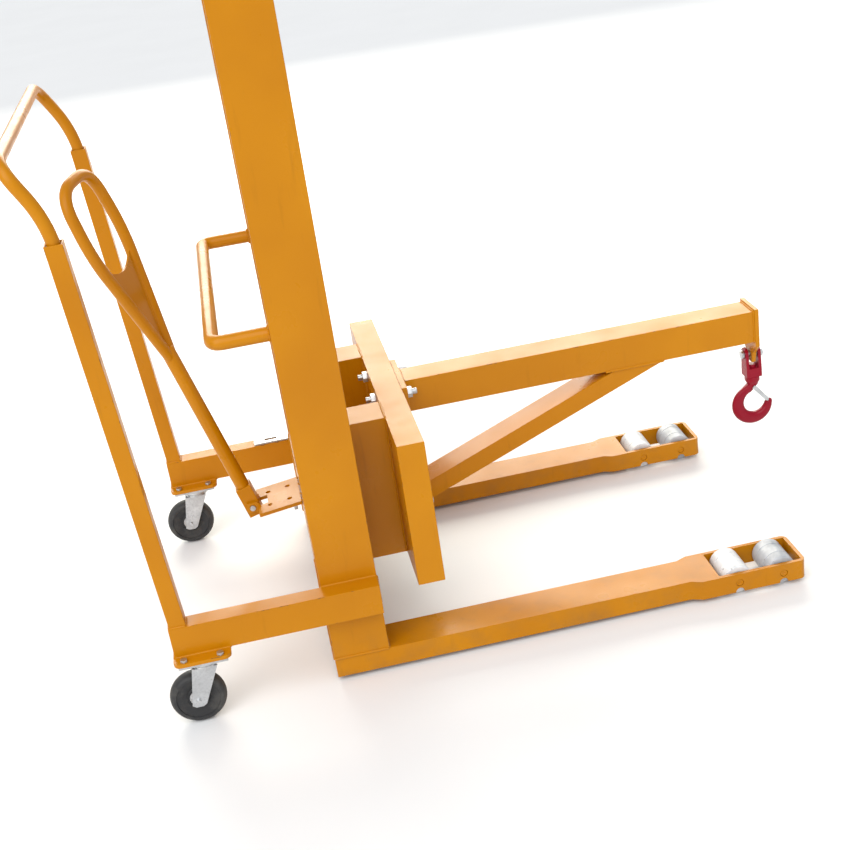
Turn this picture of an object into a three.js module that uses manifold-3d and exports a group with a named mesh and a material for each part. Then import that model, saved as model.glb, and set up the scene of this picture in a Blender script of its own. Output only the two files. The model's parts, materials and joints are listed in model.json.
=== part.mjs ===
// Straddle stacker crane: a two-channel mast on two long legs, with a chain-lifted carriage
// that carries a jib and a swivel hook. Millimetres, +Z up, +X towards the hook,
// -Y is the near side and +Y the far side. X = 0 is the front of the mast, Z = 0 the floor.
import * as THREE from "three";
import { mergeVertices } from "three/addons/utils/BufferGeometryUtils.js";
import Module from "manifold-3d";

const wasm = await Module();
wasm.setup();

// ---- Driving dimensions ------------------------------------------------------------------

const GAP = 0.3;                  // left between pieces that touch
const RUNNING = 0.1;              // radial play of a wheel on its axle
const NEAR = -1;
const FAR = 1;
const SIDES = [["near", NEAR], ["far", FAR]];
const SEGMENTS = 24;              // facets round a wheel or an axle
const TUBE_SEGMENTS = 12;
const ARC_STEPS = 12;
const BOLT_SEGMENTS = 12;
const HEX = 6;
const SMALL_SEGMENTS = 16;        // facets round a pin or a small hole
const OVERRUN = 1;                // how far a cutting tool runs past what it cuts

// Mast: a pair of 140 mm channels, back to back 890 mm, standing on the legs.
const MAST_DEPTH = 140;
const MAST_TOP = 1980;
const FLANGE_WIDTH = 60;
const FLANGE_THICK = 10;
const WEB_THICK = 7;
const MAST_OUTER = 445;           // |Y| of the web's outer face
const CHANNEL_MOUTH = MAST_OUTER - FLANGE_WIDTH;

// Legs: pressed channels, open underneath, widened at the tip for two rollers in a row.
const LEG_BOTTOM = 13;
const LEG_HEIGHT = 54;
const LEG_TOP = LEG_BOTTOM + LEG_HEIGHT;
const LEG_WIDTH = 110;
const LEG_WALL = 6;
const LEG_FLARE = 13;
const FLARE_START = 796;
const FLARE_END = 824;
const LEG_TIP = 1105;
const TIP_WALL = 10;
const TIP_CORNER = 16;
const LEG_CENTRE = MAST_OUTER - LEG_WIDTH / 2;
const LEG_ROLLER_R = 40;
const LEG_ROLLER_WIDTH = 104;
const LEG_AXLE_R = 10;
const ROLLER_OPENING = [872, LEG_TIP - TIP_WALL];
const ROLLER_X = { rear: 924, front: 1044 };
const NOTCH_R = 12;               // half-round notch in the leg's lower edge, under each axle

// Rear rails, which carry the casters and the push handle.
const RAIL_HEIGHT = 80;
const RAIL_WIDTH = 50;
const RAIL_WALL = 4;
const RAIL_BOTTOM = 202;
const RAIL_TOP = RAIL_BOTTOM + RAIL_HEIGHT;
const RAIL_REAR = -516;
const RAIL_CENTRE = MAST_OUTER + GAP + RAIL_WIDTH / 2;

// Slotted tab on top of the far rail, beside the mast.
const TAB_PLATE_X = [-247, -141];
const TAB_PLATE_HALF_WIDTH = 22;
const TAB_PLATE_THICK = 6;
const TAB_SLOT_X = [-214, -178];
const TAB_SLOT_HALF_WIDTH = 6;

// Rear casters.
const CASTER_X = -450;
const CASTER_PAD = [140, 120];
const PAD_THICK = 10;
const PAD_CORNER = 18;
const CASTER_BOLT_HALF = [44, 48];
const CASTER_BOLT_R = 5;
const CASTER_PLATE = [120, 116, 6];
const RACE_R = 34;
const RACE_BOTTOM = 166;
const SWIVEL_THICK = 6;
const CASTER_TRAIL = 35;
const CASTER_WHEEL_R = 70;
const CASTER_WHEEL_WIDTH = 40;
const CASTER_AXLE_R = 6;
const FORK_THICK = 5;
const FORK_INSIDE = 23;
const FORK_TOE = 18;              // half the width of the fork's cheek at its axle

// Push handle: two leaning square posts and a bent tube that plugs into both.
const POST_SIZE = 41;
const POST_WALL = 4;
const POST_REAR = -513;
const POST_TOP = 1250;
const POST_LEAN = Math.tan(THREE.MathUtils.degToRad(3.2));
const PUSH_TUBE_R = 15.5;
const PUSH_TUBE_BORE = 13;
const PUSH_TUBE_BOTTOM = 1150;
const PUSH_TUBE_TOP = 1430;
const PUSH_TUBE_KNEE = 1300;
const PUSH_TUBE_KNEE_BACK = 70;
const PUSH_BEND_R = 70;

// Grab bar across the back of the mast, one bent round bar.
const GRAB_Z = 940;
const GRAB_R = 17.5;
const GRAB_REACH = 150;
const GRAB_OUTER = 428;
const GRAB_BEND_R = 30;

// Base of the mast: a folded plate between the channels.
const BASE_PLATE = 8;
const BASE_TOP = 330;
const BASE_FRONT = -12;

// Head of the mast: an angle between the channels.
const HEAD_PLATE = 10;
const HEAD_DEPTH = 100;

// Hydraulic pump, ram and chain in the middle of the mast.
const CYLINDER_X = -78;
const CYLINDER_R = 28;
const CYLINDER_TOP = 1190;
const GLAND_R = 30;
const GLAND_HEIGHT = 40;
const RAM_R = 18;
const RAM_BORE = 18.4;
const RAM_FOOT = 600;
const PUMP_HALF_WIDTH = 60;
const PUMP_TOP = 330;
const PUMP_FRONT = CYLINDER_X + CYLINDER_R + 12;
const LUG_HALF_WIDTH = 14;
const YOKE_GAP = 12;              // between the pulley's rim and the yoke's floor
const YOKE_PLATE = 8;
const YOKE_RISE = 18;
const PULLEY_Z = 1300;
const PULLEY_R = 40;
const PULLEY_RIM = 46;
const PULLEY_WIDTH = 26;
const PULLEY_AXLE_R = 9;
const CHAIN_WIDTH = 18;
const CHAIN_THICK = 9;
const CHAIN_ANCHOR_Z = 1160;

// Pump table and lever behind the mast.
const TABLE_LENGTH = 118;
const TABLE_HALF_WIDTH = 75;
const TABLE_THICK = 10;
const TABLE_PITCH = THREE.MathUtils.degToRad(7);
const TABLE_Z = 336;
const TABLE_HOLE_R = 7;
const TABLE_HOLES_X = [-85, -30];
const TABLE_HOLE_Y = 38;
const TABLE_STANDOFF = 2;
const EAR_THICK = 8;
const EAR_HALF = 14;
const EAR_FRONT = 22;
const EAR_PLAY = 2;
const LEVER_PIVOT = [-274, 322];
const LEVER_PIN_R = 8;
const LEVER_LEAN = THREE.MathUtils.degToRad(15);
const LEVER_TURN = THREE.MathUtils.degToRad(-22);
const LEVER_TUBE_R = 19;
const LEVER_FORK_AT = 480;        // along the lever from its pivot
const LOOP_TUBE_R = 15;
const LOOP_HALF_WIDTH = 98;
const LOOP_LENGTH = 500;
const FOOT_HALF = 21;
const FOOT_DROP = 30;
const FOOT_RISE = 60;
const SOCKET_DEPTH = 30;
const SPIGOT_R = 16;
const STEM_OVERLAP = 25;
const LOOP_SHOULDER = 0.66;       // where the loop is widest, as a share of its length
const LOOP_TOP_SHARE = 0.86;      // half width at the top, as a share of the widest
const LOOP_CORNER = 70;
const LOOP_START_HALF = 4;        // half the gap between the branches where they leave the stem
const LOOP_START_DROP = 10;       // how far below the fork they start
const LEVER_WEB_THICK = 6;        // plate that fills the throat of the loop
const LEVER_WEB_SHARE = 0.58;     // of the loop's length
const LEVER_WEB_DIP = 40;
const PISTON_Z = 302;
const PISTON_R = 7;
const PISTON_CAP_R = 11;
const PISTON_CAP = 6;
const PISTON_BORE_DEPTH = 45;
const PISTON_IN_BORE = 25;
const VALVE = [42, 270];          // Y and Z of the release valve
const VALVE_R = 4;
const VALVE_BORE_DEPTH = 20;
const VALVE_KNOB_BACK = 20;
const VALVE_KNOB = [10, 44, 12];

// Carriage: two box arms with outriggers for the guide rollers, and a wide front box.
const CARRIAGE_BOTTOM = 229;
const CARRIAGE_TOP = 614;
const BOX_REAR = 99;
const BOX_FRONT = 167;
const BOX_HALF_WIDTH = 447;
const BOX_WALL = 6;
const ARM_INNER = 162;
const ARM_OUTER = 268;
const ARM_WALL = 6;
const ARM_REAR = -120;
const OUTRIGGER_FRONT = -20;
const OUTRIGGER_OUTER = 378;
const GUIDE_ROLLER_R = 58.5;
const GUIDE_ROLLER_WIDTH = 30;
const GUIDE_AXLE_R = 17;
const GUIDE_STANDOFF = 20;        // from the outrigger to the roller
const GUIDE_AXLE_SHORT = 2;       // axle end to the channel's web
const GUIDE_Z = { lower: 295, upper: 548 };
const CHAIN_BAR = [-47, -31];     // X of the bar that the chain pulls on
const CHAIN_BAR_Z = [560, 600];

// Jib: flange plate, box beam, brace and end plate.
const FLANGE_PLATE = 15;
const FLANGE_HALF_WIDTH = 105;
const JIB_HALF_WIDTH = 45;
const JIB_HEIGHT = 90;
const JIB_BOTTOM = 516;
const JIB_WALL = 5;
const JIB_END = 1152;
const END_PLATE = 12;
const END_MARGIN = 7;
const END_BOTTOM = 492;
const BRACE_DEPTH = 50;
const BRACE_LOW = 236;
const BRACE_TOP_X = 756;
const BOLT_Y = 80;
const BOLT_Z = { upper: 588, lower: 262 };
const BOLT_R = 8;
const BOLT_NUT_R = 15;
const BOLT_NUT = 13;
const BOLT_TAIL = 26;             // thread end from the plate, through the nut

// Hook.
const TAB_HALF_WIDTH = 26;
const TAB_SHOULDER = 12;          // the end plate narrows from here, above its lower corners
const TAB_NECK = 14;
const TAB_CHAMFER = 8;
const TAB_BOTTOM = 446;
const TAB_HOLE_Z = 466;
const TAB_HOLE_R = 10;
const HOOK_PIN_R = 8;
const CLEVIS_BOTTOM = 400;
const CLEVIS_HALF_DEPTH = 20;
const CHEEK_TOP = 18;             // above the pin's centre
const CHEEK_SHOULDER = 10;
const PIN_HEAD_R = 13;
const PIN_HEAD = 8;
const CLEVIS_BASE = 26;
const CLEVIS_INSIDE = 13.5;
const CLEVIS_OUTSIDE = 22;
const SHANK_R = 8;
const SHANK_NUT_R = 12.5;
const SHANK_NUT = 9;
const HOOK_CENTRE_Z = 316;
const HOOK_THICK = 26;
const BOWL_RADIUS = 57;
const BOWL_SWELL = 8;             // extra thickness at the bottom of the bowl
const BOWL_INSIDE = [4, 3, 32, 33];   // centre and radii of the bowl's inside
const BOWL_STEPS = 14;
const NECK_HALF = 13;
const NECK_BOTTOM = 58;
const COLLAR_R = 20;
const COLLAR_RISE = 12;
const LATCH_PIVOT = [0, 50];      // from the bowl's centre
const LATCH_END = [36, 8];
const LATCH_PIN_R = 4;
const LATCH_THICK = 3;

// ---- Colours -----------------------------------------------------------------------------

const PAINT = { color: 0xd0890f, roughness: 0.35, metalness: 0.1 };
const ZINC = { color: 0xa9abad, roughness: 0.35, metalness: 0.9 };
const STEEL = { color: 0xb9bbbe, roughness: 0.25, metalness: 1.0 };
const CHAIN_STEEL = { color: 0x4a4744, roughness: 0.55, metalness: 0.8 };
const NYLON = { color: 0xe9e7e1, roughness: 0.4, metalness: 0.0 };
const TYRE = { color: 0x1d1d1f, roughness: 0.7, metalness: 0.0 };
const HOOK_RED = { color: 0x960a23, roughness: 0.4, metalness: 0.1 };
const PUMP_GREY = { color: 0x3a3c3f, roughness: 0.5, metalness: 0.3 };

// ---- Helpers -----------------------------------------------------------------------------

const model = new THREE.Group();
model.name = "stacker_crane";

function closed(geometry) {
  const copy = geometry.clone();
  copy.deleteAttribute("normal");
  copy.deleteAttribute("uv");
  return mergeVertices(copy, 1e-4);
}

function toManifold(geometry) {
  const welded = closed(geometry);
  return new wasm.Manifold(new wasm.Mesh({
    numProp: 3,
    vertProperties: new Float32Array(welded.attributes.position.array),
    triVerts: new Uint32Array(welded.index.array),
  }));
}

function fromManifold(solid) {
  const mesh = solid.getMesh();
  const geometry = new THREE.BufferGeometry();
  geometry.setAttribute("position", new THREE.BufferAttribute(new Float32Array(mesh.vertProperties), 3));
  geometry.setIndex(new THREE.BufferAttribute(new Uint32Array(mesh.triVerts), 1));
  return geometry;
}

function joined(...pieces) {
  let solid = toManifold(pieces[0]);
  for (const piece of pieces.slice(1)) {
    solid = solid.add(toManifold(piece));
  }
  return fromManifold(solid);
}

function cut(body, ...tools) {
  let solid = toManifold(body);
  for (const tool of tools) {
    solid = solid.subtract(toManifold(tool));
  }
  return fromManifold(solid);
}

function piece(name, geometry, look) {
  const material = new THREE.MeshStandardMaterial(look);
  const mesh = new THREE.Mesh(closed(geometry), material);
  mesh.name = name;
  model.add(mesh);
}

function box([x0, x1], [y0, y1], [z0, z1]) {
  const geometry = new THREE.BoxGeometry(Math.abs(x1 - x0), Math.abs(y1 - y0), z1 - z0);
  geometry.translate((x0 + x1) / 2, (y0 + y1) / 2, (z0 + z1) / 2);
  return geometry;
}

function outline(points, holes = []) {
  const shape = new THREE.Shape(points.map(([u, v]) => new THREE.Vector2(u, v)));
  for (const hole of holes) {
    shape.holes.push(new THREE.Path(hole.map(([u, v]) => new THREE.Vector2(u, v))));
  }
  return shape;
}

function rectangle(u0, u1, v0, v1) {
  return [[u0, v0], [u1, v0], [u1, v1], [u0, v1]];
}

function circle(u, v, radius, count = SEGMENTS) {
  const points = [];
  for (let i = 0; i < count; i += 1) {
    const angle = (i / count) * Math.PI * 2;
    points.push([u + radius * Math.cos(angle), v + radius * Math.sin(angle)]);
  }
  return points;
}

function roundedRectangle(u0, u1, v0, v1, radius, steps = 4) {
  const corners = [[u1 - radius, v1 - radius, 0], [u0 + radius, v1 - radius, 1],
    [u0 + radius, v0 + radius, 2], [u1 - radius, v0 + radius, 3]];
  const points = [];
  for (const [u, v, quarter] of corners) {
    for (let i = 0; i <= steps; i += 1) {
      const angle = (quarter + i / steps) * Math.PI / 2;
      points.push([u + radius * Math.cos(angle), v + radius * Math.sin(angle)]);
    }
  }
  return points;
}

function extruded(shape, depth) {
  return new THREE.ExtrudeGeometry(shape, { depth, bevelEnabled: false, steps: 1 });
}

// A plan outline (X, Y) raised from z0 to z1.
function raised(shape, z0, z1) {
  const geometry = extruded(shape, z1 - z0);
  geometry.translate(0, 0, z0);
  return geometry;
}

// A side outline (X, Z) made thick from y0 to y1.
function sideways(shape, y0, y1) {
  const geometry = extruded(shape, Math.abs(y1 - y0));
  geometry.rotateX(Math.PI / 2);
  geometry.translate(0, Math.max(y0, y1), 0);
  return geometry;
}

// A cross-section outline (Y, Z) run from x0 to x1.
function lengthways(shape, x0, x1) {
  const geometry = extruded(shape, x1 - x0);
  geometry.applyMatrix4(new THREE.Matrix4().makeBasis(
    new THREE.Vector3(0, 1, 0), new THREE.Vector3(0, 0, 1), new THREE.Vector3(1, 0, 0)));
  geometry.translate(x0, 0, 0);
  return geometry;
}

// A cylinder of revolution from a (radius, height) profile, its axis along +Z.
function turned(profile, count = SEGMENTS) {
  return new THREE.LatheGeometry(profile.map(([r, h]) => new THREE.Vector2(r, h)), count)
    .rotateX(Math.PI / 2);
}

function rod(radius, z0, z1, count = SEGMENTS) {
  return turned([[0, z0], [radius, z0], [radius, z1], [0, z1]], count);
}

// The radius of a faceted hole whose flats clear a shaft by the running play.
function boreFor(radius) {
  return (radius + RUNNING) / Math.cos(Math.PI / SEGMENTS);
}

function ring(outer, inner, z0, z1, chamfer = 0) {
  return turned([[inner, z0], [outer - chamfer, z0], [outer, z0 + chamfer],
    [outer, z1 - chamfer], [outer - chamfer, z1], [inner, z1], [inner, z0]]
    .filter((point, i, all) => i === 0 || point[0] !== all[i - 1][0] || point[1] !== all[i - 1][1]));
}

// A wheel whose flats lie at its true radius, one of them facing the floor.
function wheel(radius, axleRadius, halfWidth, chamfer) {
  const corner = radius / Math.cos(Math.PI / SEGMENTS);
  return ring(corner, boreFor(axleRadius), -halfWidth, halfWidth, chamfer).rotateZ(Math.PI / SEGMENTS);
}

function alongY(geometry, x, z) {
  return geometry.rotateX(-Math.PI / 2).translate(x, 0, z);
}

function alongX(geometry, y, z) {
  return geometry.rotateY(Math.PI / 2).translate(0, y, z);
}

function span(side, inner, outer) {
  return side < 0 ? [-outer, -inner] : [inner, outer];
}

// A path through given points, sampled exactly at them.
class BentPath extends THREE.Curve {
  constructor(points) {
    super();
    this.points = points.map((p) => new THREE.Vector3(...p));
  }

  getPoint(t) {
    const last = this.points.length - 1;
    const i = Math.min(Math.floor(t * last + 1e-6), last - 1);
    return this.points[i].clone().lerp(this.points[i + 1], t * last - i);
  }

  getPointAt(t) {
    return this.getPoint(t);
  }

  getTangentAt(t) {
    const last = this.points.length - 1;
    const i = Math.round(t * last);
    const before = this.points[Math.max(i - 1, 0)];
    const here = this.points[i];
    const after = this.points[Math.min(i + 1, last)];
    const incoming = here.clone().sub(before).normalize();
    const outgoing = after.clone().sub(here).normalize();
    return incoming.add(outgoing).normalize();
  }
}

function tube(points, radius, bore = 0, count = TUBE_SEGMENTS) {
  const section = outline(circle(0, 0, radius, count), bore ? [circle(0, 0, bore, count)] : []);
  return new THREE.ExtrudeGeometry(section, {
    steps: points.length - 1,
    bevelEnabled: false,
    extrudePath: new BentPath(points),
  });
}

// Rounds the corners of a run of points, each corner becoming a short arc.
function rounded(points, radius, steps = 4) {
  const path = [points[0]];
  for (let i = 1; i < points.length - 1; i += 1) {
    const here = new THREE.Vector3(...points[i]);
    const back = new THREE.Vector3(...points[i - 1]).sub(here);
    const ahead = new THREE.Vector3(...points[i + 1]).sub(here);
    const reach = Math.min(radius, back.length() / 2.2, ahead.length() / 2.2);
    const curve = new THREE.QuadraticBezierCurve3(
      here.clone().addScaledVector(back.normalize(), reach), here,
      here.clone().addScaledVector(ahead.normalize(), reach));
    for (const point of curve.getPoints(steps)) {
      path.push(point.toArray());
    }
  }
  path.push(points[points.length - 1]);
  return path;
}

// ---- Legs --------------------------------------------------------------------------------

function legOutline(side) {
  const inner = MAST_OUTER - LEG_WIDTH;
  const wideInner = inner - LEG_FLARE;
  const wideOuter = MAST_OUTER + LEG_FLARE;
  const points = [[-MAST_DEPTH, inner], [FLARE_START, inner], [FLARE_END, wideInner]];
  for (let i = 0; i <= 4; i += 1) {
    const angle = (i / 4 - 1) * Math.PI / 2;
    points.push([LEG_TIP - TIP_CORNER + TIP_CORNER * Math.cos(angle),
      wideInner + TIP_CORNER + TIP_CORNER * Math.sin(angle)]);
  }
  for (let i = 0; i <= 4; i += 1) {
    const angle = (i / 4) * Math.PI / 2;
    points.push([LEG_TIP - TIP_CORNER + TIP_CORNER * Math.cos(angle),
      wideOuter - TIP_CORNER + TIP_CORNER * Math.sin(angle)]);
  }
  points.push([FLARE_END, wideOuter], [FLARE_START, MAST_OUTER], [-MAST_DEPTH, MAST_OUTER]);
  return outline(points.map(([x, y]) => [x, side * y]));
}

function makeLeg(label, side) {
  const inner = MAST_OUTER - LEG_WIDTH;
  const hollow = box([-MAST_DEPTH + LEG_WALL, ROLLER_OPENING[0] - TIP_WALL],
    span(side, inner + LEG_WALL, MAST_OUTER - LEG_WALL), [0, LEG_TOP - LEG_WALL]);
  const opening = box(ROLLER_OPENING,
    span(side, inner - LEG_FLARE + TIP_WALL, MAST_OUTER + LEG_FLARE - TIP_WALL), [0, LEG_TOP + OVERRUN]);
  const holes = [];
  for (const x of Object.values(ROLLER_X)) {
    const reach = LEG_WIDTH / 2 + LEG_FLARE + OVERRUN;
    holes.push(alongY(rod(LEG_AXLE_R + GAP, -reach, reach), x, LEG_ROLLER_R)
      .translate(0, side * LEG_CENTRE, 0));
    holes.push(alongY(rod(NOTCH_R, -reach, reach), x, LEG_BOTTOM).translate(0, side * LEG_CENTRE, 0));
  }
  const blank = raised(legOutline(side), LEG_BOTTOM, LEG_TOP);
  piece(`leg_${label}`, cut(blank, hollow, opening, ...holes), PAINT);
}

function makeLegRoller(label, side, place, x) {
  const half = LEG_ROLLER_WIDTH / 2;
  const roller = wheel(LEG_ROLLER_R, LEG_AXLE_R, half, 3);
  piece(`leg_roller_${label}_${place}`, alongY(roller, x, LEG_ROLLER_R)
    .translate(0, side * LEG_CENTRE, 0), NYLON);
  const axleHalf = LEG_WIDTH / 2 + LEG_FLARE - 1;
  piece(`leg_axle_${label}_${place}`, alongY(rod(LEG_AXLE_R, -axleHalf, axleHalf), x, LEG_ROLLER_R)
    .translate(0, side * LEG_CENTRE, 0), PAINT);
}

// ---- Mast --------------------------------------------------------------------------------

function makeMastChannel(label, side) {
  const back = -MAST_DEPTH;
  const section = [[back, MAST_OUTER], [0, MAST_OUTER], [0, CHANNEL_MOUTH],
    [-FLANGE_THICK, CHANNEL_MOUTH], [-FLANGE_THICK, MAST_OUTER - WEB_THICK],
    [back + FLANGE_THICK, MAST_OUTER - WEB_THICK], [back + FLANGE_THICK, CHANNEL_MOUTH],
    [back, CHANNEL_MOUTH]];
  const shape = outline(section.map(([x, y]) => [x, side * y]));
  piece(`mast_channel_${label}`, raised(shape, LEG_TOP + GAP, MAST_TOP), PAINT);
}

function makeMastBase() {
  const half = CHANNEL_MOUTH - GAP;
  const rear = -MAST_DEPTH;
  const bottom = LEG_TOP + GAP;
  const fold = joined(
    box([rear, rear + BASE_PLATE], [-half, half], [bottom, BASE_TOP]),
    box([rear, BASE_FRONT], [-half, half], [bottom, bottom + BASE_PLATE]));
  const through = [rear - OVERRUN, rear + BASE_PLATE + OVERRUN];
  const pistonHole = alongX(rod(PISTON_R + 1, ...through, SMALL_SEGMENTS), 0, PISTON_Z);
  const valveHole = alongX(rod(VALVE_R + 1, ...through, SMALL_SEGMENTS), ...VALVE);
  piece("mast_base", cut(fold, pistonHole, valveHole), PAINT);
}

function makeMastHead() {
  const half = CHANNEL_MOUTH - GAP;
  const rear = -MAST_DEPTH;
  piece("mast_head", joined(
    box([rear, rear + HEAD_PLATE], [-half, half], [MAST_TOP - HEAD_DEPTH, MAST_TOP]),
    box([rear, 0], [-half, half], [MAST_TOP - HEAD_PLATE, MAST_TOP])), PAINT);
}

function makeGrabBar() {
  const y = GRAB_OUTER - GRAB_R;
  const mouth = -MAST_DEPTH - GAP;
  const back = -MAST_DEPTH - GRAB_REACH + GRAB_R;
  const path = rounded([[mouth, -y, GRAB_Z], [back, -y, GRAB_Z], [back, y, GRAB_Z], [mouth, y, GRAB_Z]],
    GRAB_BEND_R);
  piece("rear_grab_bar", tube(path, GRAB_R), PAINT);
}

// ---- Rear rails, casters and push handle --------------------------------------------------

function makeRail(label, side) {
  const [y0, y1] = span(side, MAST_OUTER + GAP, MAST_OUTER + GAP + RAIL_WIDTH);
  const section = outline(rectangle(y0, y1, RAIL_BOTTOM, RAIL_TOP),
    [rectangle(y0 + RAIL_WALL, y1 - RAIL_WALL, RAIL_BOTTOM + RAIL_WALL, RAIL_TOP - RAIL_WALL)]);
  piece(`rail_${label}`, lengthways(section, RAIL_REAR, 0), PAINT);
}

function makeRailTab() {
  const plan = ([x0, x1], halfWidth) => rectangle(x0, x1, RAIL_CENTRE - halfWidth, RAIL_CENTRE + halfWidth);
  const shape = outline(plan(TAB_PLATE_X, TAB_PLATE_HALF_WIDTH), [plan(TAB_SLOT_X, TAB_SLOT_HALF_WIDTH)]);
  piece("rail_tab", raised(shape, RAIL_TOP + GAP, RAIL_TOP + GAP + TAB_PLATE_THICK), ZINC);
}

function casterBoltPlaces() {
  const [dx, dy] = CASTER_BOLT_HALF;
  return [[-dx, -dy], [dx, -dy], [dx, dy], [-dx, dy]];
}

function makeCasterPad(label, side) {
  const [length, width] = CASTER_PAD;
  const y = side * RAIL_CENTRE;
  const holes = casterBoltPlaces().map(
    ([u, v]) => circle(CASTER_X + u, y + v, CASTER_BOLT_R + GAP, BOLT_SEGMENTS));
  const shape = outline(roundedRectangle(CASTER_X - length / 2, CASTER_X + length / 2,
    y - width / 2, y + width / 2, PAD_CORNER), holes);
  piece(`caster_pad_${label}`, raised(shape, RAIL_BOTTOM - GAP - PAD_THICK, RAIL_BOTTOM - GAP), PAINT);
}

function makeCasterMount(label, side) {
  const [length, width, thick] = CASTER_PLATE;
  const top = RAIL_BOTTOM - PAD_THICK - 2 * GAP;
  const parts = [box([-length / 2, length / 2], [-width / 2, width / 2], [top - thick, top]),
    rod(RACE_R, RACE_BOTTOM, top - thick / 2)];
  const headBottom = RAIL_BOTTOM;
  for (const [u, v] of casterBoltPlaces()) {
    parts.push(rod(CASTER_BOLT_R, top - 1, headBottom + 1, BOLT_SEGMENTS).translate(u, v, 0));
    parts.push(rod(CASTER_BOLT_R * 1.9, headBottom, headBottom + 7, HEX).translate(u, v, 0));
  }
  piece(`caster_mount_${label}`, joined(...parts).translate(CASTER_X, side * RAIL_CENTRE, 0), ZINC);
}

function makeCaster(label, side) {
  const top = RACE_BOTTOM - GAP;
  const bottom = top - SWIVEL_THICK;
  const axleX = -CASTER_TRAIL;
  const toe = CASTER_WHEEL_R - FORK_TOE;
  const cheek = outline([[-RACE_R, bottom + 1], [RACE_R - FORK_THICK, bottom + 1],
    [axleX + FORK_TOE, toe + 6], [axleX + FORK_TOE / 2, toe], [axleX - FORK_TOE / 2, toe],
    [axleX - FORK_TOE, toe + 6]]);
  const outside = FORK_INSIDE + FORK_THICK;
  const fork = joined(
    rod(RACE_R, bottom, top),
    sideways(cheek, FORK_INSIDE, outside),
    sideways(cheek, -outside, -FORK_INSIDE),
    alongY(rod(CASTER_AXLE_R, -outside - CASTER_AXLE_R, outside + CASTER_AXLE_R), axleX, CASTER_WHEEL_R));
  piece(`caster_fork_${label}`, fork.translate(CASTER_X, side * RAIL_CENTRE, 0), ZINC);
  const half = CASTER_WHEEL_WIDTH / 2;
  const tyre = alongY(wheel(CASTER_WHEEL_R, CASTER_AXLE_R, half, 4), axleX, CASTER_WHEEL_R);
  piece(`caster_wheel_${label}`, tyre.translate(CASTER_X, side * RAIL_CENTRE, 0), TYRE);
}

function makePost(label, side) {
  const y = side * RAIL_CENTRE;
  const half = POST_SIZE / 2;
  const section = outline(rectangle(-half, half, -half, half),
    [rectangle(-half + POST_WALL, half - POST_WALL, -half + POST_WALL, half - POST_WALL)]);
  const height = POST_TOP - RAIL_TOP - GAP;
  const post = extruded(section, height);
  post.applyMatrix4(new THREE.Matrix4().makeShear(0, 0, 0, 0, -POST_LEAN, 0));
  piece(`post_${label}`, post.translate(POST_REAR + half, y, RAIL_TOP + GAP), PAINT);
}

function postCentreX(z) {
  return POST_REAR + POST_SIZE / 2 - POST_LEAN * (z - RAIL_TOP - GAP);
}

function makePushHandle() {
  const y = RAIL_CENTRE;
  const topX = postCentreX(PUSH_TUBE_KNEE) - PUSH_TUBE_KNEE_BACK;
  const leg = (side) => [
    [postCentreX(PUSH_TUBE_BOTTOM), side * y, PUSH_TUBE_BOTTOM],
    [postCentreX(PUSH_TUBE_KNEE), side * y, PUSH_TUBE_KNEE],
    [topX, side * y, PUSH_TUBE_TOP],
  ];
  const path = rounded([...leg(NEAR), ...leg(FAR).reverse()], PUSH_BEND_R);
  piece("push_handle", tube(path, PUSH_TUBE_R, PUSH_TUBE_BORE), PAINT);
}

// ---- Pump, ram and chain -----------------------------------------------------------------

function makePump() {
  const rear = -MAST_DEPTH + BASE_PLATE + GAP;
  const floor = LEG_TOP + GAP + BASE_PLATE + GAP;
  const block = box([rear, PUMP_FRONT], [-PUMP_HALF_WIDTH, PUMP_HALF_WIDTH], [floor, PUMP_TOP]);
  const into = (radius, depth) => rod(radius + RUNNING, rear - OVERRUN, rear + depth, SMALL_SEGMENTS);
  const bore = alongX(into(PISTON_R, PISTON_BORE_DEPTH), 0, PISTON_Z);
  const valveBore = alongX(into(VALVE_R, VALVE_BORE_DEPTH), ...VALVE);
  piece("pump_body", cut(block, bore, valveBore), PUMP_GREY);

  const pistonRear = LEVER_PIVOT[0] + footReach() + GAP;
  const piston = joined(
    rod(PISTON_CAP_R, pistonRear, pistonRear + PISTON_CAP, SMALL_SEGMENTS),
    rod(PISTON_R, pistonRear, rear + PISTON_IN_BORE, SMALL_SEGMENTS));
  piece("pump_piston", alongX(piston, 0, PISTON_Z), STEEL);

  const knobX = -MAST_DEPTH - VALVE_KNOB_BACK;
  const knob = new THREE.BoxGeometry(...VALVE_KNOB).translate(knobX, ...VALVE);
  const stem = rod(VALVE_R, knobX, rear + VALVE_BORE_DEPTH - 2, SMALL_SEGMENTS);
  piece("release_valve", joined(alongX(stem, ...VALVE), knob), ZINC);
}

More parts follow.
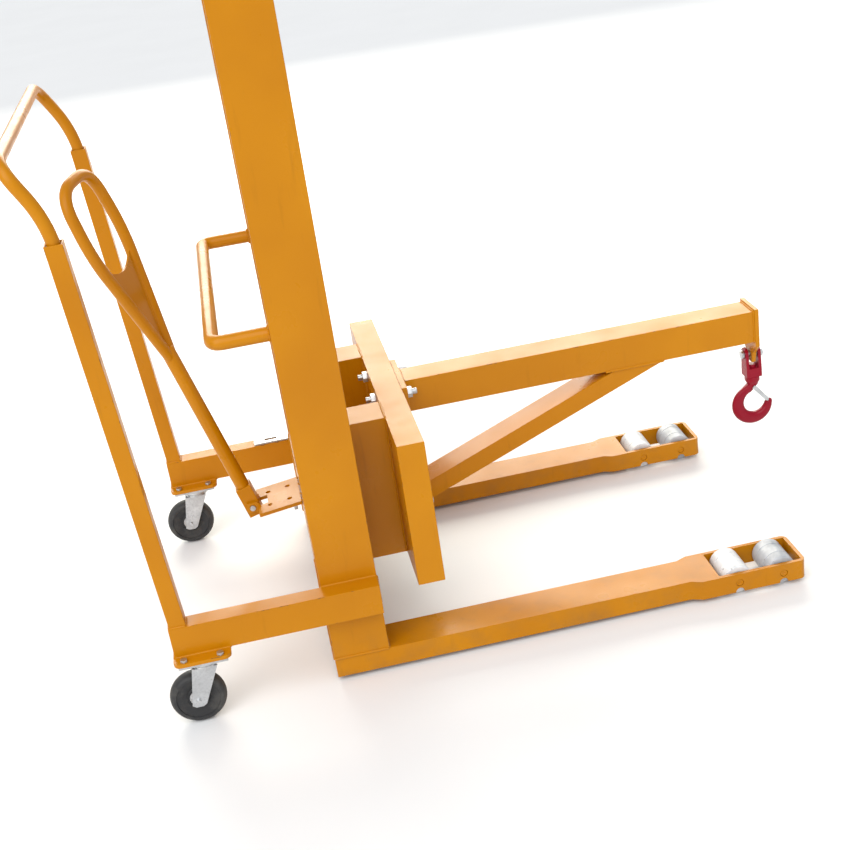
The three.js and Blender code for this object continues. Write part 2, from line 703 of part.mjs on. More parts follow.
function makeCylinder() {
  const bottom = PUMP_TOP + GAP;
  const glandBottom = CYLINDER_TOP - GLAND_HEIGHT;
  const tubeBody = turned([[0, bottom], [CYLINDER_R, bottom], [CYLINDER_R, glandBottom],
    [GLAND_R, glandBottom], [GLAND_R, CYLINDER_TOP], [RAM_BORE, CYLINDER_TOP], [RAM_BORE, RAM_FOOT - 10],
    [0, RAM_FOOT - 10]]);
  const backX = -(PULLEY_R + CHAIN_THICK / 2);
  const lug = box([backX - 2, -RAM_BORE - 4], [-LUG_HALF_WIDTH, LUG_HALF_WIDTH],
    [glandBottom, CHAIN_ANCHOR_Z - GAP]);
  piece("lift_cylinder", joined(tubeBody, lug).translate(CYLINDER_X, 0, 0), PAINT);

  const yokeBottom = PULLEY_Z - PULLEY_RIM - YOKE_GAP;
  const cheekInside = PULLEY_WIDTH / 2 + 1;
  const cheekOutside = cheekInside + YOKE_PLATE;
  const cheek = outline(rectangle(-RAM_R, RAM_R, yokeBottom, PULLEY_Z + YOKE_RISE));
  const ram = joined(rod(RAM_R, RAM_FOOT, yokeBottom + 1),
    box([-RAM_R, RAM_R], [-cheekOutside, cheekOutside], [yokeBottom, yokeBottom + YOKE_PLATE]),
    sideways(cheek, cheekInside, cheekOutside),
    sideways(cheek, -cheekOutside, -cheekInside),
    alongY(rod(PULLEY_AXLE_R, -cheekOutside - 3, cheekOutside + 3), 0, PULLEY_Z));
  piece("lift_ram", ram.translate(CYLINDER_X, 0, 0), STEEL);

  const half = PULLEY_WIDTH / 2;
  const groove = CHAIN_WIDTH / 2 + 1;
  const bore = boreFor(PULLEY_AXLE_R);
  const pulley = turned([[bore, -half], [PULLEY_RIM, -half], [PULLEY_RIM, -groove],
    [PULLEY_R - 1, -groove], [PULLEY_R - 1, groove], [PULLEY_RIM, groove], [PULLEY_RIM, half],
    [bore, half], [bore, -half]]);
  piece("chain_pulley", alongY(pulley, CYLINDER_X, PULLEY_Z), ZINC);
}

function makeChain() {
  const inner = PULLEY_R;
  const outer = PULLEY_R + CHAIN_THICK;
  const arc = (radius, from, to) => {
    const points = [];
    for (let i = 0; i <= ARC_STEPS; i += 1) {
      const angle = from + (to - from) * i / ARC_STEPS;
      points.push([radius * Math.cos(angle), PULLEY_Z + radius * Math.sin(angle)]);
    }
    return points;
  };
  const shape = outline([[outer, CHAIN_BAR_Z[1] + GAP], ...arc(outer, 0, Math.PI), [-outer, CHAIN_ANCHOR_Z],
    [-inner, CHAIN_ANCHOR_Z], ...arc(inner, Math.PI, 0), [inner, CHAIN_BAR_Z[1] + GAP]]
    .map(([x, z]) => [x + CYLINDER_X, z]));
  piece("lift_chain", sideways(shape, -CHAIN_WIDTH / 2, CHAIN_WIDTH / 2), CHAIN_STEEL);
}

// ---- Pump table and lever -----------------------------------------------------------------

// How far the foot's lower front corner stands ahead of the pivot.
function footReach() {
  return FOOT_HALF * Math.cos(LEVER_LEAN) + FOOT_DROP * Math.sin(LEVER_LEAN);
}

function makePumpTable() {
  const holes = TABLE_HOLES_X.flatMap((x) => [NEAR, FAR].map(
    (side) => circle(x, side * TABLE_HOLE_Y, TABLE_HOLE_R, SMALL_SEGMENTS)));
  const plate = raised(outline(rectangle(-TABLE_LENGTH, 0, -TABLE_HALF_WIDTH, TABLE_HALF_WIDTH), holes),
    -TABLE_THICK, 0);
  plate.rotateY(-TABLE_PITCH);
  plate.translate(-MAST_DEPTH - GAP - TABLE_STANDOFF, 0, TABLE_Z);
  const earInside = FOOT_HALF + EAR_PLAY;
  const earOutside = earInside + EAR_THICK;
  const [px, pz] = LEVER_PIVOT;
  const ear = outline([[px - EAR_HALF, pz - EAR_HALF], [px + EAR_FRONT, pz - EAR_HALF],
    [px + EAR_FRONT, pz + 4], [px + EAR_HALF, pz + EAR_HALF], [px - EAR_HALF, pz + EAR_HALF]],
    [circle(px, pz, LEVER_PIN_R + GAP, SMALL_SEGMENTS)]);
  const swing = px + Math.hypot(footReach(), FOOT_DROP) + EAR_PLAY;
  const height = [0, TABLE_Z + TABLE_LENGTH];
  const slot = box([px - TABLE_LENGTH, swing], [-earInside, earInside], height);
  const mastSide = box([-MAST_DEPTH - GAP, 0], [-TABLE_LENGTH, TABLE_LENGTH], height);
  const trimmed = cut(plate, slot, mastSide);
  piece("pump_table", joined(trimmed, sideways(ear, earInside, earOutside),
    sideways(ear, -earOutside, -earInside)), PAINT);
  const pinHalf = earOutside + EAR_THICK / 2;
  piece("lever_pin", alongY(rod(LEVER_PIN_R, -pinHalf, pinHalf), px, pz), ZINC);
}

// Places something built along the lever's own axis (+Z from the pivot) in the crane.
function onLever(geometry) {
  return geometry.rotateY(-LEVER_LEAN).translate(LEVER_PIVOT[0], 0, LEVER_PIVOT[1]);
}

// The plate between the loop's branches, dished at the top to leave the hand hole.
function leverWeb() {
  const spread = (LOOP_HALF_WIDTH - LOOP_START_HALF) / (LOOP_LENGTH * LOOP_SHOULDER + LOOP_START_DROP);
  const bottom = LEVER_FORK_AT + STEM_OVERLAP;
  const top = LEVER_FORK_AT + LOOP_LENGTH * LEVER_WEB_SHARE;
  const halfAt = (z) => LOOP_START_HALF / 2 + spread * (z - LEVER_FORK_AT + LOOP_START_DROP);
  const points = [[-halfAt(bottom), bottom], [halfAt(bottom), bottom]];
  for (let i = 0; i <= ARC_STEPS; i += 1) {
    const across = 1 - 2 * i / ARC_STEPS;
    points.push([across * halfAt(top), top - LEVER_WEB_DIP * (1 - across * across)]);
  }
  return lengthways(outline(points), -LEVER_WEB_THICK / 2, LEVER_WEB_THICK / 2);
}

function makeLever() {
  const foot = cut(box([-FOOT_HALF, FOOT_HALF], [-FOOT_HALF, FOOT_HALF], [-FOOT_DROP, FOOT_RISE]),
    alongY(rod(boreFor(LEVER_PIN_R), -FOOT_HALF - OVERRUN, FOOT_HALF + OVERRUN), 0, 0),
    rod(boreFor(SPIGOT_R), FOOT_RISE - SOCKET_DEPTH, FOOT_RISE + OVERRUN));
  piece("lever_foot", onLever(foot), PAINT);

  const spigot = rod(SPIGOT_R, FOOT_RISE - SOCKET_DEPTH + GAP, FOOT_RISE + 2);
  const stem = rod(LEVER_TUBE_R, FOOT_RISE + GAP, LEVER_FORK_AT + STEM_OVERLAP);
  const w = LOOP_HALF_WIDTH;
  const top = LEVER_FORK_AT + LOOP_LENGTH;
  const start = [0, -LOOP_START_HALF, LEVER_FORK_AT - LOOP_START_DROP];
  const half = [start, [0, -w, LEVER_FORK_AT + LOOP_LENGTH * LOOP_SHOULDER], [0, -w * LOOP_TOP_SHARE, top]];
  const mirrored = half.map(([x, y, z]) => [x, -y, z]).reverse();
  const loop = tube(rounded([...half, ...mirrored], LOOP_CORNER), LOOP_TUBE_R);
  const lever = joined(spigot, stem, loop, leverWeb()).rotateZ(LEVER_TURN);
  piece("pump_lever", onLever(lever), PAINT);
}

// ---- Carriage ----------------------------------------------------------------------------

function boltPlaces() {
  const places = [];
  for (const [level, z] of Object.entries(BOLT_Z)) {
    for (const [label, side] of SIDES) {
      places.push({ name: `${level}_${label}`, y: side * BOLT_Y, z });
    }
  }
  return places;
}

function boltHoles(x0, x1) {
  return boltPlaces().map(({ y, z }) => alongX(rod(BOLT_R + GAP, x0, x1, BOLT_SEGMENTS), y, z));
}

function makeCarriageBox() {
  const half = BOX_HALF_WIDTH;
  const shell = box([BOX_REAR, BOX_FRONT], [-half, half], [CARRIAGE_BOTTOM, CARRIAGE_TOP]);
  const hollow = box([BOX_REAR + BOX_WALL, BOX_FRONT - BOX_WALL], [-half + BOX_WALL, half - BOX_WALL],
    [CARRIAGE_BOTTOM - OVERRUN, CARRIAGE_TOP - BOX_WALL]);
  piece("carriage_box", cut(shell, hollow, ...boltHoles(BOX_REAR - OVERRUN, BOX_FRONT + OVERRUN)), PAINT);
}

function makeCarriageSide(label, side) {
  const z = [CARRIAGE_BOTTOM, CARRIAGE_TOP];
  const arm = cut(box([ARM_REAR, BOX_REAR - GAP], span(side, ARM_INNER, ARM_OUTER), z),
    box([ARM_REAR - OVERRUN, BOX_REAR + OVERRUN], span(side, ARM_INNER + ARM_WALL, ARM_OUTER - ARM_WALL),
      [z[0] + ARM_WALL, z[1] - ARM_WALL]));
  const outrigger = cut(box([ARM_REAR, OUTRIGGER_FRONT], span(side, ARM_OUTER - 1, OUTRIGGER_OUTER), z),
    box([ARM_REAR + ARM_WALL, OUTRIGGER_FRONT - ARM_WALL], span(side, ARM_OUTER, OUTRIGGER_OUTER - ARM_WALL),
      [z[0] - OVERRUN, z[1] + OVERRUN]));
  const axles = [];
  for (const height of Object.values(GUIDE_Z)) {
    const [y0, y1] = span(side, OUTRIGGER_OUTER - 1, MAST_OUTER - WEB_THICK - GUIDE_AXLE_SHORT);
    axles.push(alongY(rod(GUIDE_AXLE_R, y0, y1), -MAST_DEPTH / 2, height));
  }
  piece(`carriage_side_${label}`, joined(arm, outrigger, ...axles), PAINT);
}

function makeGuideRollers(label, side) {
  const y = side * (OUTRIGGER_OUTER + GUIDE_STANDOFF + GUIDE_ROLLER_WIDTH / 2);
  for (const [level, z] of Object.entries(GUIDE_Z)) {
    const roller = wheel(GUIDE_ROLLER_R, GUIDE_AXLE_R, GUIDE_ROLLER_WIDTH / 2, 2);
    piece(`guide_roller_${label}_${level}`, alongY(roller, -MAST_DEPTH / 2, z).translate(0, y, 0), STEEL);
  }
}

function makeChainBar() {
  const half = ARM_INNER - GAP;
  piece("chain_bar", box(CHAIN_BAR, [-half, half], CHAIN_BAR_Z), PAINT);
}

// ---- Jib ---------------------------------------------------------------------------------

// The slope of a brace that rises by its height, less its own depth there, over its run.
function braceAngle(height, run) {
  let angle = Math.atan(height / run);
  for (let step = 0; step < 12; step += 1) {
    angle = Math.atan((height - BRACE_DEPTH / Math.cos(angle)) / run);
  }
  return angle;
}

function makeJib() {
  const flangeRear = BOX_FRONT + GAP;
  const flangeFront = flangeRear + FLANGE_PLATE;
  const flange = box([flangeRear, flangeFront], [-FLANGE_HALF_WIDTH, FLANGE_HALF_WIDTH],
    [CARRIAGE_BOTTOM, CARRIAGE_TOP - 2]);
  piece("jib_flange", cut(flange, ...boltHoles(flangeRear - OVERRUN, flangeFront + OVERRUN)), PAINT);

  const beamRear = flangeFront + GAP;
  const w = JIB_HALF_WIDTH;
  const section = outline(rectangle(-w, w, JIB_BOTTOM, JIB_BOTTOM + JIB_HEIGHT),
    [rectangle(-w + JIB_WALL, w - JIB_WALL, JIB_BOTTOM + JIB_WALL, JIB_BOTTOM + JIB_HEIGHT - JIB_WALL)]);
  piece("jib_beam", lengthways(section, beamRear, JIB_END), PAINT);

  const top = JIB_BOTTOM - GAP;
  const run = BRACE_TOP_X - beamRear;
  const angle = braceAngle(top - BRACE_LOW, run);
  const lowerEndX = beamRear + (top - BRACE_LOW) / Math.tan(angle);
  const brace = outline([[beamRear, BRACE_LOW], [lowerEndX, top], [BRACE_TOP_X, top],
    [beamRear, BRACE_LOW + BRACE_DEPTH / Math.cos(angle)]]);
  const inside = (BRACE_DEPTH / 2 - JIB_WALL) / Math.cos(angle);
  const mid = BRACE_LOW + BRACE_DEPTH / 2 / Math.cos(angle);
  const corner = (along, up) => [beamRear + along, mid + up * inside + along * Math.tan(angle)];
  const hollow = outline([corner(-run, -1), corner(2 * run, -1), corner(2 * run, 1), corner(-run, 1)]);
  piece("jib_brace", cut(sideways(brace, -w, w), sideways(hollow, -w + JIB_WALL, w - JIB_WALL)), PAINT);
}

function makeEndPlate() {
  const x0 = JIB_END + GAP;
  const half = JIB_HALF_WIDTH + END_MARGIN;
  const top = JIB_BOTTOM + JIB_HEIGHT + END_MARGIN;
  const right = [[TAB_HALF_WIDTH - TAB_CHAMFER, TAB_BOTTOM], [TAB_HALF_WIDTH, END_BOTTOM - TAB_NECK],
    [half, END_BOTTOM + TAB_SHOULDER], [half, top]];
  const left = right.map(([y, z]) => [-y, z]).reverse();
  const shape = outline([...left, ...right], [circle(0, TAB_HOLE_Z, TAB_HOLE_R)]);
  piece("jib_end_plate", lengthways(shape, x0, x0 + END_PLATE), PAINT);
}

function makeFlangeBolts() {
  const nutBack = BOX_REAR - GAP;
  const nutFront = BOX_FRONT + GAP + FLANGE_PLATE + GAP;
  for (const { name, y, z } of boltPlaces()) {
    const bolt = joined(
      rod(BOLT_R, nutBack - BOLT_TAIL, nutFront + BOLT_TAIL, BOLT_SEGMENTS),
      rod(BOLT_NUT_R, nutBack - BOLT_NUT, nutBack, HEX),
      rod(BOLT_NUT_R, nutFront, nutFront + BOLT_NUT, HEX));
    piece(`flange_bolt_${name}`, alongX(bolt, y, z), ZINC);
  }
}

// ---- Hook --------------------------------------------------------------------------------

function hookX() {
  return JIB_END + GAP + END_PLATE / 2;
}

function makeClevis() {
  const x = hookX();
  const inside = CLEVIS_INSIDE;
  const outside = CLEVIS_OUTSIDE;
  const half = CLEVIS_HALF_DEPTH;
  const baseTop = CLEVIS_BOTTOM + CLEVIS_BASE;
  const rightCheek = [[half, baseTop - 6], [0.8 * half, TAB_HOLE_Z + CHEEK_SHOULDER],
    [0.4 * half, TAB_HOLE_Z + CHEEK_TOP]];
  const cheek = [...rightCheek, ...rightCheek.map(([y, z]) => [-y, z]).reverse()];
  const hole = circle(0, TAB_HOLE_Z, HOOK_PIN_R + GAP);
  const body = cut(box([-outside, outside], [-half, half], [CLEVIS_BOTTOM, baseTop]),
    rod(boreFor(SHANK_R), CLEVIS_BOTTOM - OVERRUN, baseTop + OVERRUN));
  const clevis = joined(body,
    lengthways(outline(cheek, [hole]), inside, outside),
    lengthways(outline(cheek, [hole]), -outside, -inside));
  piece("hook_clevis", clevis.translate(x, 0, 0), HOOK_RED);

  const headStart = outside + GAP;
  const pin = joined(rod(HOOK_PIN_R, -headStart - 2, headStart + 2),
    rod(PIN_HEAD_R, headStart, headStart + PIN_HEAD, HEX),
    rod(PIN_HEAD_R - 1, -headStart - PIN_HEAD, -headStart));
  piece("hook_pin", alongX(pin, 0, TAB_HOLE_Z).translate(x, 0, 0), ZINC);
}

// The hook's side outline about its bowl centre: a thick bowl, a bill and a neck.
function hookOutline() {
  const points = [];
  const outerFrom = -0.06 * Math.PI;
  const outerTo = -1.3 * Math.PI;
  for (let i = 0; i <= BOWL_STEPS; i += 1) {
    const share = i / BOWL_STEPS;
    const angle = outerFrom + (outerTo - outerFrom) * share;
    const radius = BOWL_RADIUS + BOWL_SWELL * Math.sin(Math.PI * share);
    points.push([radius * Math.cos(angle), radius * Math.sin(angle)]);
  }
  points.push([-NECK_HALF, NECK_BOTTOM + 14], [NECK_HALF, NECK_BOTTOM + 14], [NECK_HALF, NECK_BOTTOM - 6]);
  const [cx, cz, rx, rz] = BOWL_INSIDE;
  const innerFrom = -1.42 * Math.PI;
  const innerTo = -0.1 * Math.PI;
  for (let i = 0; i <= BOWL_STEPS; i += 1) {
    const angle = innerFrom + (innerTo - innerFrom) * i / BOWL_STEPS;
    points.push([cx + rx * Math.cos(angle), cz + rz * Math.sin(angle)]);
  }
  const bill = [[BOWL_RADIUS - 13, 10], [BOWL_RADIUS - 3, 6]];
  points.push(...bill);
  return points;
}

function makeHook() {
  const x = hookX();
  const [px, pz] = LATCH_PIVOT;
  const [ex, ez] = LATCH_END;
  const pinHole = alongY(rod(boreFor(LATCH_PIN_R), -HOOK_THICK, HOOK_THICK), px, pz);
  const body = cut(sideways(outline(hookOutline()), -HOOK_THICK / 2, HOOK_THICK / 2), pinHole);
  const collarTop = CLEVIS_BOTTOM - GAP - HOOK_CENTRE_Z;
  const nutBottom = collarTop + CLEVIS_BASE + 2 * GAP;
  const neck = turned([[0, NECK_BOTTOM], [NECK_HALF, NECK_BOTTOM], [COLLAR_R, NECK_BOTTOM + COLLAR_RISE],
    [COLLAR_R, collarTop], [SHANK_R, collarTop], [SHANK_R, nutBottom], [SHANK_NUT_R, nutBottom],
    [SHANK_NUT_R, nutBottom + SHANK_NUT], [0, nutBottom + SHANK_NUT]]);
  piece("hook", joined(body, neck).translate(x, 0, HOOK_CENTRE_Z), HOOK_RED);

  const inside = HOOK_THICK / 2 + 1;
  const outside = inside + LATCH_THICK;
  const strap = outline([[px - 6, pz], [px, pz + 7], [px + 7, pz + 3],
    [ex + 5, ez + 3], [ex + 2, ez - 5], [ex - 5, ez - 2]]);
  const latch = joined(
    sideways(strap, inside, outside),
    sideways(strap, -outside, -inside),
    alongY(rod(LATCH_PIN_R, -outside, outside), px, pz),
    alongY(rod(LATCH_PIN_R, -outside, outside), ex, ez));
  piece("hook_latch", latch.translate(x, 0, HOOK_CENTRE_Z), ZINC);
}

// ---- Assembly ----------------------------------------------------------------------------

for (const [label, side] of SIDES) {
  makeLeg(label, side);
  for (const [place, x] of Object.entries(ROLLER_X)) {
    makeLegRoller(label, side, place, x);
  }
  makeMastChannel(label, side);
  makeRail(label, side);
  makeCasterPad(label, side);
  makeCasterMount(label, side);
  makeCaster(label, side);
  makePost(label, side);
  makeCarriageSide(label, side);
  makeGuideRollers(label, side);
}
makeRailTab();
makeMastBase();
makeMastHead();
makeGrabBar();
makePushHandle();
makePump();
makeCylinder();
makeChain();
makePumpTable();
makeLever();
makeCarriageBox();
makeChainBar();
makeJib();
makeEndPlate();
makeFlangeBolts();
makeClevis();
makeHook();

// The row's origin is the middle of the footprint, on the floor.
const bounds = new THREE.Box3().setFromObject(model);
model.position.set(-(bounds.min.x + bounds.max.x) / 2, -(bounds.min.y + bounds.max.y) / 2, -bounds.min.z);

export default model;
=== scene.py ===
"""A straddle stacker crane in orange enamel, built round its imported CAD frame. Metres, +Z up."""

import json
from math import atan2, copysign, cos, pi, radians, sin

import bmesh
import bpy
from mathutils import Matrix, Vector, noise


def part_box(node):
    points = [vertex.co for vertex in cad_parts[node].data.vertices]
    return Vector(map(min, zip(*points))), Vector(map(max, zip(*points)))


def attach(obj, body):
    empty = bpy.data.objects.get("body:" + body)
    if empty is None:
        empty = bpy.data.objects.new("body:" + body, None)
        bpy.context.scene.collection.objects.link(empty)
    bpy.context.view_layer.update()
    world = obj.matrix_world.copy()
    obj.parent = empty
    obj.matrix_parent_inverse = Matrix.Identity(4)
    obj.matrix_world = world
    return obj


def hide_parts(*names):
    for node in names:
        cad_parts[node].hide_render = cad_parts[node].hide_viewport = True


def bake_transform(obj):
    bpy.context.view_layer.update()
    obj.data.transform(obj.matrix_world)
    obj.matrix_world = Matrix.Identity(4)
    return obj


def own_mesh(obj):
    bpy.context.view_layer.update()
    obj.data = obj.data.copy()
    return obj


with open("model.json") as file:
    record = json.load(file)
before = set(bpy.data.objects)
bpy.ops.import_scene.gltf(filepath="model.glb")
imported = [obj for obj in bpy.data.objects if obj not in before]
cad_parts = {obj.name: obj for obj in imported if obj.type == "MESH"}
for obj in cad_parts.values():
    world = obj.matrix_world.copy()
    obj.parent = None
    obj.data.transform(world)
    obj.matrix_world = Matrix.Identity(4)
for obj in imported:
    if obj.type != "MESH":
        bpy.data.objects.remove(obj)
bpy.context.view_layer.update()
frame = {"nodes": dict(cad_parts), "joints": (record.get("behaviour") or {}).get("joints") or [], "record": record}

NODE_BODY = {node: body for body, nodes in frame["record"]["behaviour"]["bodies"].items() for node in nodes}
NODE_SLOT = {row["node"]: row["material_slot"] for row in frame["record"]["subparts"]}
JOINTS = {joint["name"]: joint for joint in frame["joints"]}
JOINT_CENTRES = {joint["child"]: Vector(joint["pos_m"]) for joint in frame["joints"] if "pos_m" in joint}
NEAR = -1
FAR = 1
SIDES = (("near", NEAR), ("far", FAR))

# ---- Camera and light ----------------------------------------

CAMERA_AT = Vector((-0.444, -3.333, 1.998))
CAMERA_AZIMUTH = radians(6.5)  # from +Y towards +X
CAMERA_DOWN = radians(24.8)
CAMERA_ROLL = radians(-8.7)
CAMERA_LENS = 57.6
SENSOR_WIDTH = 36


def make_camera():
    """A camera given by its heading, so that no constraint or target is needed."""
    ahead = Vector((sin(CAMERA_AZIMUTH) * cos(CAMERA_DOWN),
                    cos(CAMERA_AZIMUTH) * cos(CAMERA_DOWN), -sin(CAMERA_DOWN)))
    level = ahead.cross(Vector((0, 0, 1))).normalized()
    above = level.cross(ahead)
    right = level * cos(CAMERA_ROLL) + above * sin(CAMERA_ROLL)
    up = above * cos(CAMERA_ROLL) - level * sin(CAMERA_ROLL)
    data = bpy.data.cameras.new("camera")
    data.lens = CAMERA_LENS
    data.sensor_width = SENSOR_WIDTH
    camera = bpy.data.objects.new("camera", data)
    bpy.context.scene.collection.objects.link(camera)
    turn = Matrix((right, up, -ahead)).transposed().to_4x4()
    camera.matrix_world = Matrix.Translation(CAMERA_AT) @ turn
    bpy.context.scene.camera = camera


def area_light(name, at, target, size, power, colour):
    """A soft rectangle of light that faces its target."""
    data = bpy.data.lights.new(name, "AREA")
    data.shape = "RECTANGLE"
    data.size, data.size_y = size
    data.energy = power
    data.color = colour
    light = bpy.data.objects.new(name, data)
    bpy.context.scene.collection.objects.link(light)
    light.location = at
    light.rotation_mode = "QUATERNION"
    light.rotation_quaternion = (Vector(target) - Vector(at)).to_track_quat("-Z", "Y")


def sun_light(name, towards, spread, power):
    """Even soft light from a wide patch of sky; towards is the way its rays travel."""
    data = bpy.data.lights.new(name, "SUN")
    data.angle = spread
    data.energy = power
    light = bpy.data.objects.new(name, data)
    bpy.context.scene.collection.objects.link(light)
    light.rotation_mode = "QUATERNION"
    light.rotation_quaternion = Vector(towards).to_track_quat("-Z", "Y")


def make_lights():
    sun_light("soft_key", towards=(0.28, 0.62, -0.74), spread=radians(60), power=1.9)
    area_light("back", at=(0.6, 7.0, 4.1), target=(0, 0, 0.6), size=(8.0, 3.5), power=620,
               colour=(1.0, 0.97, 0.84))
    area_light("window", at=(-2.8, -2.6, 2.4), target=(-0.2, 0, 0.7), size=(1.4, 2.4), power=22,
               colour=(1.0, 0.98, 0.95))
    world = bpy.data.worlds.new("studio")
    world.use_nodes = True
    background = world.node_tree.nodes["Background"]
    background.inputs["Color"].default_value = (0.96, 0.98, 1.0, 1)
    background.inputs["Strength"].default_value = 0.66
    bpy.context.scene.world = world
    bpy.context.scene.view_settings.view_transform = "Standard"


# ---- Materials -----------------------------------------------

class Surface:
    """A node material: one Principled shader, and short ways to add textures to it."""

    def __init__(self, name, roughness, metallic=0.0, coat=0.0, coat_roughness=0.1):
        self.material = bpy.data.materials.new(name)
        self.material.use_nodes = True
        self.tree = self.material.node_tree
        self.shader = self.tree.nodes["Principled BSDF"]
        self.shader.inputs["Roughness"].default_value = roughness
        self.shader.inputs["Metallic"].default_value = metallic
        self.shader.inputs["Coat Weight"].default_value = coat
        self.shader.inputs["Coat Roughness"].default_value = coat_roughness
        self.place = self.tree.nodes.new("ShaderNodeTexCoord").outputs["Object"]

    def stretched(self, scale):
        mapping = self.tree.nodes.new("ShaderNodeMapping")
        mapping.inputs["Scale"].default_value = scale
        self.tree.links.new(self.place, mapping.inputs["Vector"])
        return mapping.outputs["Vector"]

    def noise(self, scale, detail=4.0, roughness=0.55, along=None):
        node = self.tree.nodes.new("ShaderNodeTexNoise")
        node.inputs["Scale"].default_value = scale
        node.inputs["Detail"].default_value = detail
        node.inputs["Roughness"].default_value = roughness
        self.tree.links.new(along or self.place, node.inputs["Vector"])
        return node.outputs["Fac"]

    def between(self, value, low, high, start=0.0, end=1.0):
        """Maps value from low..high to start..end, and clamps it."""
        node = self.tree.nodes.new("ShaderNodeMapRange")
        for name, number in (("From Min", low), ("From Max", high), ("To Min", start), ("To Max", end)):
            node.inputs[name].default_value = number
        self.tree.links.new(value, node.inputs["Value"])
        return node.outputs["Result"]

    def maths(self, kind, first, second):
        node = self.tree.nodes.new("ShaderNodeMath")
        node.operation = kind
        for socket, value in zip(node.inputs, (first, second)):
            if isinstance(value, (int, float)):
                socket.default_value = value
            else:
                self.tree.links.new(value, socket)
        return node.outputs["Value"]

    def blend(self, factor, first, second):
        """A colour between two, each a tuple or a socket."""
        node = self.tree.nodes.new("ShaderNodeMix")
        node.data_type = "RGBA"
        self.tree.links.new(factor, node.inputs["Factor"])
        for socket, value in ((node.inputs[6], first), (node.inputs[7], second)):
            if isinstance(value, tuple):
                socket.default_value = (*value, 1)
            else:
                self.tree.links.new(value, socket)
        return node.outputs[2]

    def attribute(self, name):
        node = self.tree.nodes.new("ShaderNodeAttribute")
        node.attribute_name = name
        return node.outputs["Fac"]

    def height(self):
        """The height of the point above the floor, at rest."""
        node = self.tree.nodes.new("ShaderNodeSeparateXYZ")
        self.tree.links.new(self.place, node.inputs["Vector"])
        return node.outputs["Z"]

    def bump(self, *layers):
        """Adds bumps, each a (socket, distance in metres) pair."""
        normal = None
        for height, distance in layers:
            node = self.tree.nodes.new("ShaderNodeBump")
            node.inputs["Distance"].default_value = distance
            node.inputs["Strength"].default_value = 1.0
            self.tree.links.new(height, node.inputs["Height"])
            if normal:
                self.tree.links.new(normal, node.inputs["Normal"])
            normal = node.outputs["Normal"]
        self.tree.links.new(normal, self.shader.inputs["Normal"])

    def finish(self, **sockets):
        for name, value in sockets.items():
            self.tree.links.new(value, self.shader.inputs[name.replace("_", " ").title()])
        return self.material


def enamel(name, bright, deep, chipped, roughness=0.3, dirt=(0.16, 0.10, 0.05)):
    """Sprayed enamel: soft colour drift, orange peel, chipped edges, rub marks and floor dirt."""
    surface = Surface(name, roughness, coat=0.12, coat_roughness=0.12)
    surface.shader.inputs["Specular IOR Level"].default_value = 0.15
    drift = surface.between(surface.noise(2.3, 3.0), 0.35, 0.68)
    colour = surface.blend(drift, bright, deep)
    speckle = surface.between(surface.noise(160.0, 2.0), 0.62, 0.75, 0.0, 0.18)
    colour = surface.blend(speckle, colour, deep)
    streaks = surface.noise(7.0, 5.0, 0.6, surface.stretched((6.0, 6.0, 0.7)))
    rubbed = surface.between(streaks, 0.60, 0.76, 0.0, 0.26)
    colour = surface.blend(rubbed, colour, tuple(0.6 * c for c in deep))
    low = surface.between(surface.height(), 0.01, 0.16, 1.0, 0.0)
    grime = surface.maths("MULTIPLY", low, surface.between(surface.noise(14.0, 6.0), 0.46, 0.75, 0.0, 0.34))
    colour = surface.blend(grime, colour, dirt)
    edge = surface.attribute("wear")
    flaking = surface.between(surface.noise(38.0, 5.0, 0.7), 0.56, 0.64, 0.0, 0.8)
    chips = surface.maths("MULTIPLY", edge, flaking)
    colour = surface.blend(chips, colour, chipped)
    nick = surface.between(surface.noise(21.0, 8.0, 0.75), 0.735, 0.755)
    colour = surface.blend(nick, colour, chipped)
    shine = surface.between(surface.noise(9.0, 4.0), 0.3, 0.7, roughness - 0.06, roughness + 0.12)
    worn = surface.maths("MAXIMUM", chips, nick)
    shine = surface.maths("ADD", shine, surface.maths("MULTIPLY", worn, 0.25))
    sunk = surface.maths("SUBTRACT", 1.0, worn)
    surface.bump((surface.noise(420.0, 2.0), 0.00004), (surface.noise(6.0, 2.0), 0.0010), (sunk, 0.0002))
    return surface.finish(base_color=colour, roughness=shine)


def bare_metal(name, bright, dull, roughness, spots, grain=(1.0, 1.0, 1.0)):
    """Plated or ground steel: grain, cloudy patches and freckles of rust, as strong as spots."""
    surface = Surface(name, roughness, metallic=1.0)
    clouds = surface.between(surface.noise(22.0, 5.0), 0.3, 0.72)
    colour = surface.blend(clouds, bright, dull)
    fine = surface.noise(180.0, 3.0, 0.6, surface.stretched(grain))
    colour = surface.blend(surface.between(fine, 0.45, 0.8, 0.0, 0.5), colour, tuple(0.7 * c for c in dull))
    rust = surface.between(surface.noise(70.0, 6.0, 0.7), 0.62, 0.70, 0.0, spots)
    colour = surface.blend(rust, colour, (0.19, 0.075, 0.03))
    shine = surface.between(surface.noise(35.0, 4.0), 0.3, 0.7, roughness - 0.08, roughness + 0.15)
    surface.bump((fine, 0.00008), (surface.noise(60.0, 3.0), 0.00015))
    return surface.finish(base_color=colour, roughness=shine)


